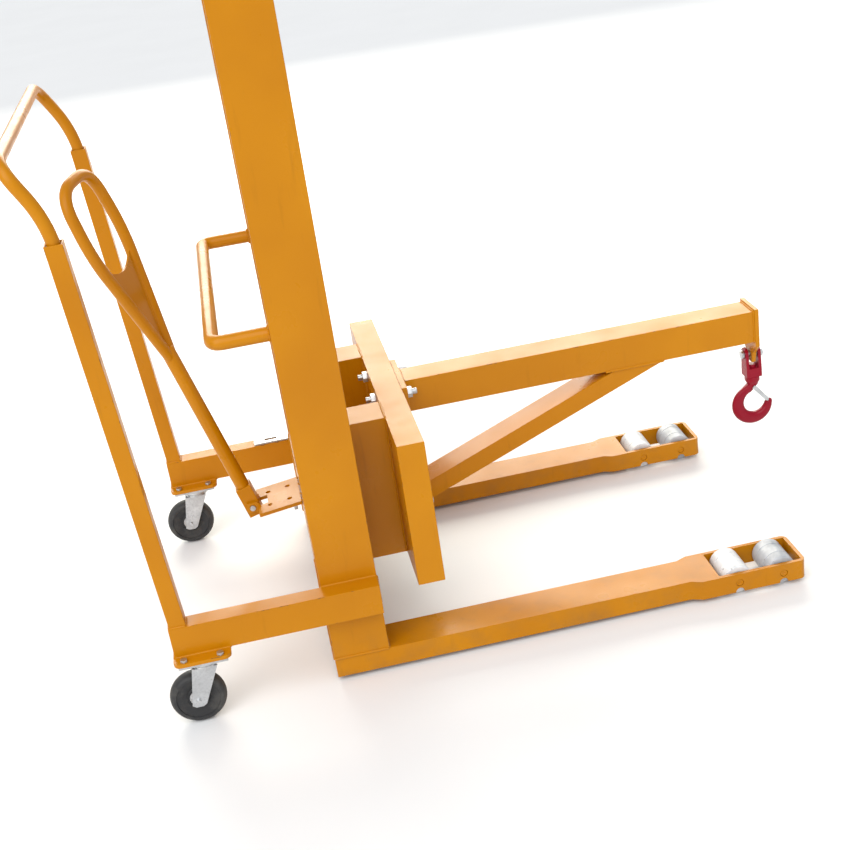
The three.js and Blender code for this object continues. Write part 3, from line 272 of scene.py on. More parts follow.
def nylon(name, bright, dull):
    """Nylon with a rolled shine, grey scuffs from the floor and a few nicks."""
    surface = Surface(name, 0.3)
    surface.shader.inputs["Subsurface Weight"].default_value = 0.08
    surface.shader.inputs["Subsurface Radius"].default_value = (0.004, 0.004, 0.003)
    clouds = surface.between(surface.noise(18.0, 4.0), 0.35, 0.7)
    colour = surface.blend(clouds, bright, dull)
    scuffs = surface.noise(30.0, 6.0, 0.65, surface.stretched((0.9, 1.5, 0.9)))
    colour = surface.blend(surface.between(scuffs, 0.54, 0.74, 0.0, 0.5), colour, (0.30, 0.31, 0.33))
    nicks = surface.between(surface.noise(90.0, 4.0, 0.7), 0.64, 0.70, 0.0, 0.8)
    colour = surface.blend(nicks, colour, (0.16, 0.15, 0.14))
    surface.bump((scuffs, 0.0001), (surface.noise(300.0, 2.0), 0.00003))
    return surface.finish(base_color=colour, roughness=surface.between(scuffs, 0.3, 0.7, 0.22, 0.5))


def rubber():
    """Black rubber, dusty in patches."""
    surface = Surface("black_rubber", 0.7)
    dust = surface.between(surface.noise(24.0, 6.0, 0.65), 0.45, 0.75, 0.0, 0.55)
    colour = surface.blend(dust, (0.018, 0.018, 0.019), (0.13, 0.12, 0.105))
    surface.bump((surface.noise(520.0, 3.0), 0.00015), (surface.noise(60.0, 3.0), 0.0004))
    return surface.finish(base_color=colour, roughness=surface.between(dust, 0.0, 0.5, 0.55, 0.85))


def greased_track(name, paint):
    """Paint worn to steel under a film of grease, inside the mast channels."""
    surface = Surface(name, 0.3, metallic=0.55)
    smears = surface.noise(26.0, 5.0, 0.6, surface.stretched((4.0, 4.0, 0.25)))
    colour = surface.blend(surface.between(smears, 0.40, 0.62), (0.42, 0.41, 0.40), paint)
    grease = surface.between(surface.noise(12.0, 4.0), 0.55, 0.72, 0.0, 0.8)
    colour = surface.blend(grease, colour, (0.06, 0.045, 0.03))
    surface.bump((smears, 0.0003))
    return surface.finish(base_color=colour, roughness=surface.between(smears, 0.3, 0.7, 0.18, 0.42))


ORANGE = (0.55, 0.213, 0.001)
ORANGE_DEEP = (0.48, 0.174, 0.001)


def make_materials():
    return {
        "orange_paint": enamel("orange_enamel", ORANGE, ORANGE_DEEP, (0.16, 0.075, 0.03)),
        "hook_red": enamel("crimson_enamel", (0.34, 0.004, 0.022), (0.22, 0.003, 0.014), (0.20, 0.19, 0.18)),
        "pump_grey": enamel("grey_enamel", (0.045, 0.05, 0.055), (0.03, 0.032, 0.035), (0.22, 0.21, 0.2),
                            roughness=0.42),
        "zinc": bare_metal("zinc_plate", (0.66, 0.67, 0.68), (0.46, 0.47, 0.48), roughness=0.34, spots=0.5),
        "bright_steel": bare_metal("ground_steel", (0.72, 0.72, 0.72), (0.55, 0.55, 0.56), roughness=0.2,
                                   spots=0.15, grain=(1, 1, 12)),
        "chain_steel": bare_metal("oiled_chain", (0.17, 0.15, 0.13), (0.07, 0.06, 0.05), roughness=0.38,
                                  spots=0.6),
        "roller_nylon": nylon("white_nylon", (0.80, 0.81, 0.82), (0.66, 0.67, 0.69)),
        "worn_nylon": nylon("grey_nylon", (0.54, 0.56, 0.59), (0.34, 0.36, 0.39)),
        "wheel_rubber": rubber(),
        "track": greased_track("greased_track", tuple(0.5 * c for c in ORANGE)),
    }


# ---- Mesh tools ----------------------------------------------

EDGE_ROUND = 0.0016  # radius of a worn steel edge
SHARP_ABOVE = radians(28)
EDGE_STEPS = 2
ROUND_STEPS = 96  # facets round a wheel
SAME_POINT = 2e-5  # CAD vertices closer than this are one
NO_LENGTH = 2e-6  # edges shorter than this are removed
ON_AXIS = 1e-7  # radii below this are a point
BEND_SHARE = 1 / 2.2  # of a straight run that one bend may take up
BEND_STEPS = 12
CORNER_SHARE = 0.45  # the same, of a profile's edge
CORNER_STEPS = 2


def shade(mesh, sharp=SHARP_ABOVE):
    mesh.shade_smooth()
    mesh.set_sharp_from_angle(angle=sharp)


def finish_mesh(bm, name, sharp=SHARP_ABOVE):
    bmesh.ops.recalc_face_normals(bm, faces=bm.faces)
    mesh = bpy.data.meshes.new(name)
    bm.to_mesh(mesh)
    bm.free()
    shade(mesh, sharp)
    return mesh


def add_piece(name, mesh, node, *materials):
    """Links a finished mesh as a piece that stands for a CAD node and moves with that node's body."""
    piece = bpy.data.objects.new(name, mesh)
    bpy.context.scene.collection.objects.link(piece)
    for material in materials:
        mesh.materials.append(material)
    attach(piece, NODE_BODY[node])
    return piece


def stand_for(node, name, bm, *looks, sharp=SHARP_ABOVE):
    """Finishes a mesh and puts it in the place of a CAD node."""
    piece = add_piece(name, finish_mesh(bm, name, sharp), node, *(MATERIALS[look] for look in looks))
    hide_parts(node)


def mark_wear(bm, faces):
    """Stores 1 on the corners of the rounded edges, and 0 elsewhere, for the paint to chip there."""
    layer = bm.loops.layers.float.new("wear")
    for face in faces:
        for loop in face.loops:
            loop[layer] = 1.0


def refined(node, radius=EDGE_ROUND):
    """A copy of a CAD node with its outer edges rounded and worn."""
    mesh = frame["nodes"][node].data.copy()
    mesh.name = f"{node}_surface"
    mesh.materials.clear()
    if "custom_normal" in mesh.attributes:
        mesh.attributes.remove(mesh.attributes["custom_normal"])
    bm = bmesh.new()
    bm.from_mesh(mesh)
    bmesh.ops.remove_doubles(bm, verts=bm.verts, dist=SAME_POINT)
    sharp = [e for e in bm.edges
             if len(e.link_faces) == 2 and e.is_convex and e.calc_face_angle(0.0) > SHARP_ABOVE]
    made = bmesh.ops.bevel(bm, geom=sharp, offset=radius, offset_type="OFFSET", segments=EDGE_STEPS,
                           profile=0.5, affect="EDGES", clamp_overlap=True)
    mark_wear(bm, made["faces"])
    for face in bm.faces:
        face.smooth = True
        face.material_index = 0
    bmesh.ops.triangulate(bm, faces=[f for f in bm.faces if len(f.verts) > 4])
    bmesh.ops.dissolve_degenerate(bm, dist=NO_LENGTH, edges=bm.edges)
    bm.to_mesh(mesh)
    bm.free()
    shade(mesh)
    piece = add_piece(f"{node}_finished", mesh, node, MATERIALS[NODE_SLOT[node]])
    weights = piece.modifiers.new("even_shading", "WEIGHTED_NORMAL")
    weights.keep_sharp = True
    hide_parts(node)
    return piece


def turn_profile(bm, profile, axis_at, along, steps=ROUND_STEPS, closed=False, material=0):
    """Adds a solid of revolution: (radius, place along the axis) points about a line through axis_at."""
    along = Vector(along).normalized()
    first = along.orthogonal().normalized()
    second = along.cross(first)
    rings = []
    for radius, place in profile:
        centre = Vector(axis_at) + along * place
        if radius < ON_AXIS:
            rings.append([bm.verts.new(centre)])
            continue
        rings.append([bm.verts.new(centre + radius * (first * cos(a) + second * sin(a)))
                      for a in (2 * pi * i / steps for i in range(steps))])
    pairs = list(zip(rings, rings[1:]))
    if closed:
        pairs.append((rings[-1], rings[0]))
    for lower, upper in pairs:
        for i in range(steps):
            corners = []
            for ring, index in ((lower, i), (lower, i + 1), (upper, i + 1), (upper, i)):
                vert = ring[index % len(ring)]
                if vert not in corners:
                    corners.append(vert)
            if len(corners) > 2:
                bm.faces.new(corners).material_index = material


def corner_curve(before, here, after, reach, share, steps):
    """Points on a smooth curve that replaces the corner at here, from at most reach before it."""
    back, ahead = before - here, after - here
    cut = min(reach, back.length * share, ahead.length * share)
    start = here + back.normalized() * cut
    end = here + ahead.normalized() * cut
    return [start * (1 - t) ** 2 + here * 2 * t * (1 - t) + end * t * t
            for t in (k / steps for k in range(steps + 1))]


def rounded_profile(points, reach):
    """Rounds the corners of a closed (radius, place) outline."""
    points = [Vector(p) for p in points]
    corners = zip(points[-1:] + points[:-1], points, points[1:] + points[:1])
    return [tuple(point) for before, here, after in corners
            for point in corner_curve(before, here, after, reach, CORNER_SHARE, CORNER_STEPS)]


def skin(bm, rings):
    """Joins matching rings of vertices into a closed skin."""
    for lower, upper in zip(rings, rings[1:]):
        for k in range(len(lower)):
            n = (k + 1) % len(lower)
            bm.faces.new((lower[k], lower[n], upper[n], upper[k]))
    bm.faces.new(reversed(rings[0]))
    bm.faces.new(rings[-1])


def tube_along(bm, points, radii, steps):
    """Sweeps a circle along points without twisting it, with one radius for each point."""
    tangents = []
    for i in range(len(points)):
        ahead = points[min(i + 1, len(points) - 1)] - points[i]
        behind = points[i] - points[max(i - 1, 0)]
        tangents.append((ahead.normalized() + behind.normalized()).normalized())
    side = tangents[0].orthogonal().normalized()
    rings = []
    for point, tangent, radius in zip(points, tangents, radii):
        side = (side - tangent * side.dot(tangent)).normalized()
        other = tangent.cross(side)
        rings.append([bm.verts.new(point + radius * (side * cos(a) + other * sin(a)))
                      for a in (2 * pi * k / steps for k in range(steps))])
    skin(bm, rings)


def bent(points, reach):
    """A run of points with its corners turned into smooth bends."""
    points = [Vector(p) for p in points]
    path = [points[0]]
    for before, here, after in zip(points, points[1:], points[2:]):
        path += corner_curve(before, here, after, reach, BEND_SHARE, BEND_STEPS)
    return path + [points[-1]]


def bent_tube(bm, points, reach, radius, steps):
    path = bent(points, reach)
    tube_along(bm, path, [radius] * len(path), steps)


def add_plate(bm, back, front):
    """A flat plate between two outlines that match point for point."""
    back, front = ([bm.verts.new(p) for p in outline] for outline in (back, front))
    bm.faces.new(back)
    bm.faces.new(reversed(front))
    for k in range(len(back)):
        n = (k + 1) % len(back)
        bm.faces.new((back[k], front[k], front[n], back[n]))


# ---- Welds ---------------------------------------------------

WELD_RADIUS = 0.0036
WELD_STEPS = 8  # facets round a bead
WELD_RIPPLE = 0.0045  # length of one ripple
RIPPLE_STEPS = 3
RIPPLE_SHARE = 0.14  # of the radius that comes and goes with each ripple
WANDER_SHARE = 0.16  # of the radius that drifts along the run
WANDER_SCALE = 55
WELD_END = 0.45  # share of the radius left at the ends


def weld_bead(bm, start, end, radius=WELD_RADIUS):
    """One weld: a slim bead, half sunk into the corner, with the ripples of its run."""
    start, end = Vector(start), Vector(end)
    length = (end - start).length
    count = max(4, int(length / (WELD_RIPPLE / RIPPLE_STEPS)))
    points = [start.lerp(end, i / count) for i in range(count + 1)]
    radii = []
    for i, point in enumerate(points):
        ripple = 1 - RIPPLE_SHARE + RIPPLE_SHARE * abs(sin(pi * i / RIPPLE_STEPS))
        wander = 1 + WANDER_SHARE * noise.noise(point * WANDER_SCALE)
        taper = min(1.0, WELD_END + i / RIPPLE_STEPS, WELD_END + (count - i) / RIPPLE_STEPS)
        radii.append(radius * ripple * wander * taper)
    tube_along(bm, points, radii, WELD_STEPS)


def weld_rectangle(bm, axis, at, first, second, radius=WELD_RADIUS):
    """Four welds round a rectangle that is square to an axis: 0 for X, 2 for Z."""
    corners = [(first[0], second[0]), (first[1], second[0]), (first[1], second[1]), (first[0], second[1])]
    points = [Vector((at, u, v)) if axis == 0 else Vector((u, v, at)) for u, v in corners]
    for start, end in zip(points, points[1:] + points[:1]):
        weld_bead(bm, start, end, radius)


# ---- Wheels and rollers --------------------------------------

ACROSS = (0, 1, 0)
UPWARDS = (0, 0, 1)
SMALL_ROUND_STEPS = 48
SEAL_DEPTH = 0.0012  # of a bearing's seal behind its rings
SHOULDER_ANGLES = [radians(degrees) for degrees in range(90, -1, -18)]
CROWN_ANGLES = [radians(degrees) for degrees in range(0, 86, 12)]

# Radius, bore, radius of the hub, and how far the hub is set back from the wheel's face.
LEG_ROLLER = (0.040, 0.0101, 0.019, 0.005)
CASTER_WHEEL = (0.070, 0.0061, 0.0215, 0.005)
GUIDE_ROLLER = (0.0585, 0.0171, 0.036, 0.003)
BEARING_PROUD = 0.001  # of the hub

TREAD_GROOVE_DEPTH = 0.0012
TREAD_GROOVE_HALF = 0.0016
DISH = 0.004
CROWN = 0.012


def mirrored(right):
    """The other half of an outline of (radius, place) points, so that left + right runs straight on."""
    return [(r, -p) for r, p in reversed(right)]


def bearing(bm, centre, inner, outer, face):
    """A ball bearing's rings, with its seal sunk a little into each face of a wheel."""
    edge = face - SEAL_DEPTH
    right = [(inner, edge), (inner * 1.25, edge), (inner * 1.3, edge - SEAL_DEPTH),
             (outer * 0.9, edge - SEAL_DEPTH), (outer * 0.93, edge), (outer, edge)]
    turn_profile(bm, right + mirrored(right), centre, ACROSS, SMALL_ROUND_STEPS, closed=True, material=1)


def wheel_piece(node, tread, looks, sizes):
    """A wheel: a tread outline given as (radius, distance from the middle), and a steel bearing in it."""
    radius, bore, hub_radius, recess = sizes
    low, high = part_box(node)
    centre = JOINT_CENTRES[node]
    half = (high.y - low.y) / 2
    right = tread(radius, half)
    hub = [(hub_radius, half - recess), (hub_radius, -half + recess)]
    bm = bmesh.new()
    turn_profile(bm, mirrored(right[1:]) + right + hub, centre, ACROSS, closed=True)
    bearing(bm, centre, bore, hub_radius, half - recess + BEARING_PROUD)
    stand_for(node, f"{node}_wheel", bm, looks, "bright_steel")


def shoulder(radius, half, corner):
    """The round edge between a roller's tread and its face."""
    return [(radius - corner * (1 - sin(a)), half - corner * (1 - cos(a)))
            for a in SHOULDER_ANGLES]


def leg_roller_tread(radius, half):
    """A broad roller with rounded shoulders, a dished face and a shallow turned groove in each half."""
    middle = half * 0.42
    grooves = [(radius, middle - TREAD_GROOVE_HALF),
               (radius - TREAD_GROOVE_DEPTH, middle - TREAD_GROOVE_HALF / 2),
               (radius - TREAD_GROOVE_DEPTH, middle + TREAD_GROOVE_HALF / 2),
               (radius, middle + TREAD_GROOVE_HALF)]
    face = [(radius * 0.62, half), (radius * 0.56, half - DISH), (radius * 0.5, half - DISH)]
    return [(radius, 0.0)] + grooves + shoulder(radius, half, 0.0045) + face


def caster_tread(radius, half):
    """A rubber tyre with a crowned tread on a moulded centre."""
    crown = [(radius - CROWN * (1 - cos(a)), half * sin(a)) for a in CROWN_ANGLES]
    face = [(radius * 0.78, half), (radius * 0.76, half - 0.003), (radius * 0.74, half - 0.003),
            (radius * 0.42, half - 0.009), (radius * 0.36, half - 0.004)]
    return crown + face


def guide_roller_tread(radius, half):
    """A plain steel roller with rounded shoulders."""
    face = [(radius * 0.72, half), (radius * 0.70, half - 0.002)]
    return [(radius, 0.0)] + shoulder(radius, half, 0.003) + face


def make_wheels():
    for side, _ in SIDES:
        for place, looks in (("rear", "roller_nylon"), ("front", "worn_nylon")):
            wheel_piece(f"leg_roller_{side}_{place}", leg_roller_tread, looks, LEG_ROLLER)
        wheel_piece(f"caster_wheel_{side}", caster_tread, "wheel_rubber", CASTER_WHEEL)
        for level in ("lower", "upper"):
            wheel_piece(f"guide_roller_{side}_{level}", guide_roller_tread, "bright_steel", GUIDE_ROLLER)


AXLE_CHAMFER = 0.0015


def make_axles():
    """Leg axles: turned pins with chamfered ends, each with the lathe's centre mark in it."""
    for side, _ in SIDES:
        for place in ("rear", "front"):
            node = f"leg_axle_{side}_{place}"
            low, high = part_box(node)
            half = (high.y - low.y) / 2
            radius = (high.x - low.x) / 2
            right = [(radius, half - AXLE_CHAMFER), (radius * 0.85, half), (radius * 0.45, half),
                     (radius * 0.35, half - AXLE_CHAMFER), (0, half - AXLE_CHAMFER)]
            bm = bmesh.new()
            turn_profile(bm, mirrored(right) + right, (low + high) / 2, ACROSS, SMALL_ROUND_STEPS)
            stand_for(node, f"{node}_turned", bm, "orange_paint")


PULLEY_BORE = 0.0092
PULLEY_RECESS = 0.003  # of the web behind the faces, and of the groove's walls
PULLEY_GROOVE = 0.007
RIM_DRAFT = 0.0005  # the rims lean out by this much
PULLEY_ROUND = 0.0008


def make_pulley():
    """The pulley's groove, its dished web and its hub, turned in one."""
    node = "chain_pulley"
    low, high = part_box(node)
    half = (high.y - low.y) / 2
    rim = (high.z - low.z) / 2
    web = half - PULLEY_RECESS
    right = [(rim - PULLEY_GROOVE, web), (rim, web + RIM_DRAFT), (rim, half), (rim * 0.84, half),
             (rim * 0.78, web), (rim * 0.5, web), (rim * 0.42, half), (PULLEY_BORE, half)]
    bm = bmesh.new()
    turn_profile(bm, rounded_profile(mirrored(right) + right, PULLEY_ROUND), JOINT_CENTRES[node], ACROSS,
                 closed=True)
    stand_for(node, "chain_pulley_turned", bm, "zinc")


# ---- Tubes ---------------------------------------------------

TUBE_STEPS = 40
HANDLE_TUBE = 0.0155  # radius
HANDLE_KNEE_Z = 1.300
HANDLE_BACK = 0.070  # from the knees to the bar
HANDLE_BEND = 0.070
HANDLE_FOOT_GAP = 0.0009  # keeps the leaning tube's square end in the CAD's box

GRAB_BEND = 0.030
GRAB_WELD = 0.0030
GRAB_WELD_STEPS = 24
WELD_SINK = 0.001


def make_push_handle():
    """The bent tube across both posts, with its ends standing in them."""
    low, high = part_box("push_handle")
    post_low, post_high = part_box("post_near")
    post_size = post_high.y - post_low.y
    lean = (post_high.x - post_low.x - post_size) / (post_high.z - post_low.z)
    foot_x = post_high.x - post_size / 2

    def on_post(z):
        return foot_x - lean * (z - post_low.z), z

    knee = on_post(HANDLE_KNEE_Z)
    leg = [on_post(low.z + HANDLE_FOOT_GAP), knee, (knee[0] - HANDLE_BACK, high.z - HANDLE_TUBE)]
    half = high.y - HANDLE_TUBE
    points = [(x, -half, z) for x, z in leg] + [(x, half, z) for x, z in reversed(leg)]
    bm = bmesh.new()
    bent_tube(bm, points, HANDLE_BEND, HANDLE_TUBE, TUBE_STEPS)
    stand_for("push_handle", "push_handle_tube", bm, "orange_paint")


def make_grab_bar():
    """The round bar bent round the back of the mast, with a weld where each end meets it."""
    low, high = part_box("rear_grab_bar")
    radius = (high.z - low.z) / 2
    middle = (high.z + low.z) / 2
    outer = high.y - radius
    corners = [(high.x, -outer), (low.x + radius, -outer), (low.x + radius, outer), (high.x, outer)]
    bm = bmesh.new()
    bent_tube(bm, [(x, y, middle) for x, y in corners], GRAB_BEND, radius, TUBE_STEPS)
    reach = radius + WELD_SINK
    angles = [2 * pi * k / GRAB_WELD_STEPS for k in range(GRAB_WELD_STEPS + 1)]
    for sign in (NEAR, FAR):
        ring = [(high.x - WELD_SINK, sign * outer + reach * cos(a), middle + reach * sin(a))
                for a in angles]
        for start, end in zip(ring, ring[1:]):
            weld_bead(bm, start, end, GRAB_WELD)
    stand_for("rear_grab_bar", "rear_grab_bar_bent", bm, "orange_paint")


# ---- Pump lever ----------------------------------------------

# Lengths are along the lever from its pivot.
LEVER_LEAN = radians(15)
LEVER_TURNED = radians(-22)
SPIGOT_FOOT, SPIGOT_TOP = 0.0305, 0.062
SPIGOT_RADIUS = 0.016
SPIGOT_CHAMFER = 0.0005
STEM_FOOT = 0.0603
STEM_RADIUS = 0.019
STEM_CHAMFER = 0.001
STEM_DOME = 0.008  # height of the domed end, welded into the loop
FORK_AT = 0.480
FORK_OVERLAP = 0.025
LOOP_TUBE = 0.015  # radius
LOOP_STEPS = 36
LOOP_LENGTH = 0.500
LOOP_HALF_WIDTH = 0.098
LOOP_WIDEST = 0.66  # where the loop is widest, as a share of its length
LOOP_TOP_SHARE = 0.86  # width at the top, as a share of the widest
LOOP_BEND = 0.070
LOOP_START_HALF = 0.004  # of each branch's start from the middle
LOOP_START_DROP = 0.010  # how far below the fork they start
WEB_SHARE = 0.58  # of the loop's length
WEB_DIP = 0.040
WEB_HALF_THICK = 0.003
WEB_DIP_STEPS = 24
WEB_WELD = 0.0028
WEB_WELD_FROM, WEB_WELD_TO = 0.06, 0.012  # from the web's bottom and its top
WEB_WELD_IN = 0.0135  # from the web's edge, inside the tube, to its weld


def stem_profile():
    """A tube with a chamfered foot and a domed top."""
    top = FORK_AT + FORK_OVERLAP
    dome = [(STEM_RADIUS * cos(a), top - STEM_DOME + STEM_DOME * sin(a))
            for a in (radians(degrees) for degrees in range(0, 90, 15))]
    foot = [(0, STEM_FOOT), (STEM_RADIUS - STEM_CHAMFER, STEM_FOOT), (STEM_RADIUS, STEM_FOOT + STEM_CHAMFER)]
    return foot + dome + [(0, top)]


def web_half(z):
    """Half the web's width, which reaches almost to the middle of the loop's tubes."""
    spread = (LOOP_HALF_WIDTH - LOOP_START_HALF) / (LOOP_LENGTH * LOOP_WIDEST + LOOP_START_DROP)
    return LOOP_START_HALF / 2 + spread * (z - FORK_AT + LOOP_START_DROP)


def lever_web(bm):
    """The plate in the throat of the loop, dished at the top, with a weld down each edge."""
    bottom = FORK_AT + FORK_OVERLAP
    top = FORK_AT + LOOP_LENGTH * WEB_SHARE
    outline = [(-web_half(bottom), bottom), (web_half(bottom), bottom)]
    for k in range(WEB_DIP_STEPS + 1):
        across = 1 - 2 * k / WEB_DIP_STEPS
        outline.append((across * web_half(top), top - WEB_DIP * (1 - across * across)))
    back, front = ([(x, y, z) for y, z in outline] for x in (-WEB_HALF_THICK, WEB_HALF_THICK))
    add_plate(bm, back, front)
    weld_from = bottom + WEB_WELD_FROM
    for x in (-WEB_HALF_THICK, WEB_HALF_THICK):
        for sign in (NEAR, FAR):
            weld_bead(bm, (x, sign * (web_half(weld_from) - WEB_WELD_IN), weld_from),
                      (x, sign * (web_half(top) - WEB_WELD_IN), top - WEB_WELD_TO), WEB_WELD)


def make_pump_lever():
    """The lever: spigot, stem, loop and web, built on its own axis and then set on its pivot."""
    spigot = [(0, SPIGOT_FOOT), (SPIGOT_RADIUS - SPIGOT_CHAMFER, SPIGOT_FOOT),
              (SPIGOT_RADIUS, SPIGOT_FOOT + SPIGOT_CHAMFER), (SPIGOT_RADIUS, SPIGOT_TOP), (0, SPIGOT_TOP)]
    bm = bmesh.new()
    for profile in (stem_profile(), spigot):
        turn_profile(bm, profile, (0, 0, 0), UPWARDS, SMALL_ROUND_STEPS)
    branch = [(0, -LOOP_START_HALF, FORK_AT - LOOP_START_DROP),
              (0, -LOOP_HALF_WIDTH, FORK_AT + LOOP_LENGTH * LOOP_WIDEST),
              (0, -LOOP_HALF_WIDTH * LOOP_TOP_SHARE, FORK_AT + LOOP_LENGTH)]
    other = [(x, -y, z) for x, y, z in reversed(branch)]
    bent_tube(bm, branch + other, LOOP_BEND, LOOP_TUBE, LOOP_STEPS)
    lever_web(bm)
    pivot = Matrix.Translation(Vector(JOINTS["lever_turn"]["pos_m"]))
    bm.transform(pivot @ Matrix.Rotation(-LEVER_LEAN, 4, "Y") @ Matrix.Rotation(LEVER_TURNED, 4, "Z"))
    stand_for("pump_lever", "pump_lever_welded", bm, "orange_paint")


# ---- Cylinder ------------------------------------------------

BARREL_STEPS = 72
GLAND_HEIGHT = 0.040
GLAND_STEP = 0.002  # from the barrel's radius to the gland's
FOOT_COLLAR = 0.012  # height
LIP = 0.002  # chamfers on the collar and at the top
RING_GROOVE_AT = 0.016  # above the gland's foot
RING_GROOVE_DEPTH = 0.0015
RING_GROOVE_FLAT = 0.002
RAM_BORE = 0.0184
RAM_BORE_DEPTH = 0.030
LUG_HALF_WIDTH = 0.014
LUG_HEIGHT = 0.0097
LUG_ROOT = 0.004  # from the bore to the lug
SOFT_EDGE = 0.001


def cylinder_profile(bottom, top, gland):
    """From the closed foot, up the barrel and the grooved gland, and down into the ram's bore."""
    barrel = gland - GLAND_STEP
    collar = barrel + SOFT_EDGE
    shelf = top - GLAND_HEIGHT
    groove = shelf + RING_GROOVE_AT
    sunk = gland - RING_GROOVE_DEPTH
    flat_from = groove + RING_GROOVE_DEPTH
    flat_to = flat_from + RING_GROOVE_FLAT
    return [(0, bottom), (collar, bottom), (collar, bottom + FOOT_COLLAR),
            (barrel, bottom + FOOT_COLLAR + LIP), (barrel, shelf - SOFT_EDGE),
            (gland - SOFT_EDGE, shelf), (gland, shelf + SOFT_EDGE),
            (gland, groove), (sunk, flat_from), (sunk, flat_to), (gland, flat_to + RING_GROOVE_DEPTH),
            (gland, top - LIP), (gland - LIP, top), (RAM_BORE + LIP, top), (RAM_BORE, top - LIP),
            (RAM_BORE, top - RAM_BORE_DEPTH), (0, top - RAM_BORE_DEPTH)]


def make_cylinder():
    """The lift cylinder, with the lug behind its gland that the chain is anchored to."""
    node = "lift_cylinder"
    low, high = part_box(node)
    axis_x = JOINT_CENTRES["chain_pulley"].x
    bm = bmesh.new()
    profile = cylinder_profile(low.z, high.z, (high.y - low.y) / 2)
    turn_profile(bm, profile, (axis_x, 0, 0), UPWARDS, BARREL_STEPS)
    lug_front = axis_x - RAM_BORE - LUG_ROOT
    lug_bottom = high.z - GLAND_HEIGHT
    made = bmesh.ops.create_cube(bm, size=1.0)
    scale = Matrix.Diagonal((lug_front - low.x, 2 * LUG_HALF_WIDTH, LUG_HEIGHT, 1))
    centre = Matrix.Translation(((lug_front + low.x) / 2, 0, lug_bottom + LUG_HEIGHT / 2))
    bmesh.ops.transform(bm, matrix=centre @ scale, verts=made["verts"])
    edges = dict.fromkeys(e for v in made["verts"] for e in v.link_edges)
    bmesh.ops.bevel(bm, geom=list(edges), offset=SOFT_EDGE, segments=EDGE_STEPS, profile=0.5, affect="EDGES")
    stand_for(node, "lift_cylinder_turned", bm, "orange_paint")


# ---- Chain ---------------------------------------------------

CHAIN_PITCH = 0.0127
CHAIN_RIVET = 0.0022  # radius
CHAIN_HALF_DEPTH = 0.0043
CHAIN_LAYERS = 7  # side plates across the chain: four of one link, three of the next
PLATE_SHARE = 0.9  # of a layer that is steel
PLATE_END_STEPS = 6
RIVET_STEPS = 10
CHAIN_MARGIN = 0.0001  # keeps the bend in the CAD's box
ANCHOR_DROP = 0.030  # from the top of the cylinder to the lug behind it
CHAIN_SHARP = radians(35)


def plate_outline(start, end, along, out):
    """A flat oval from pin to pin."""
    ring = []
    for centre, sign in ((end, 1), (start, -1)):
        for k in range(PLATE_END_STEPS + 1):
            angle = pi * (k / PLATE_END_STEPS - 0.5)
            ring.append(centre + along * (sign * CHAIN_HALF_DEPTH * cos(angle))
                        + out * (sign * CHAIN_HALF_DEPTH * sin(angle)))
    return ring


def chain_link(bm, start, end, index, half_width):
    """One link of leaf chain: its side plates, three or four by turns, and the pin through them."""
    start, end = Vector(start), Vector(end)
    along = (end - start).normalized()
    across = Vector(ACROSS)
    ring = plate_outline(start, end, along, along.cross(across))
    plates = 3 if index % 2 else 4
    spacing = 2 * half_width / CHAIN_LAYERS
    thick = spacing * PLATE_SHARE
    for k in range(plates):
        offset = (k - (plates - 1) / 2) * 2 * spacing
        left, right = ([p + across * (offset + side * thick / 2) for p in ring] for side in (-1, 1))
        add_plate(bm, left, right)
    rivet = [(0, -half_width), (CHAIN_RIVET, -half_width), (CHAIN_RIVET, half_width), (0, half_width)]
    turn_profile(bm, rivet, start, ACROSS, RIVET_STEPS)


def chain_mesh(name, points, half_width):
    """Leaf chain from pin to pin along points that lie a pitch apart."""
    bm = bmesh.new()
    for index, (start, end) in enumerate(zip(points, points[1:])):
        chain_link(bm, start, end, index, half_width)
    return finish_mesh(bm, name, CHAIN_SHARP)


def straight_pins(x, z_from, z_to):
    count = max(1, round(abs(z_to - z_from) / CHAIN_PITCH))
    return [(x, 0, z_from + (z_to - z_from) * i / count) for i in range(count + 1)]


def make_chain():
    """Three runs: the one that the carriage hangs on, the bend over the pulley, and the anchored one."""
    node = "lift_chain"
    low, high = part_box(node)
    centre = JOINT_CENTRES["chain_pulley"]
    half_width = (high.y - low.y) / 2
    radius = (high.x - low.x) / 2 - CHAIN_HALF_DEPTH - CHAIN_MARGIN
    carriage_x, anchor_x = centre.x + radius, centre.x - radius
    anchor_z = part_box("lift_cylinder")[1].z - ANCHOR_DROP
    arc_count = round(pi * radius / CHAIN_PITCH)
    bend = [(centre.x + radius * cos(a), 0, centre.z + radius * sin(a))
            for a in (pi * i / arc_count for i in range(arc_count + 1))]
    hanging = straight_pins(carriage_x, centre.z, low.z + CHAIN_HALF_DEPTH)
    anchored = straight_pins(anchor_x, anchor_z + CHAIN_HALF_DEPTH, centre.z)
    looks = MATERIALS["chain_steel"]
    over = add_piece("chain_over_pulley", chain_mesh("chain_bend", bend, half_width), node, looks)
    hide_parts(node)
    front = add_piece("chain_to_carriage", chain_mesh("chain_front", hanging, half_width), node, looks)
    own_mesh(front)
    rear_mesh = chain_mesh("chain_rear", anchored, half_width)
    rear = bpy.data.objects.new("chain_to_anchor", rear_mesh)
    bpy.context.scene.collection.objects.link(rear)
    rear_mesh.materials.append(looks)
    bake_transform(rear)


# ---- Hook ----------------------------------------------------

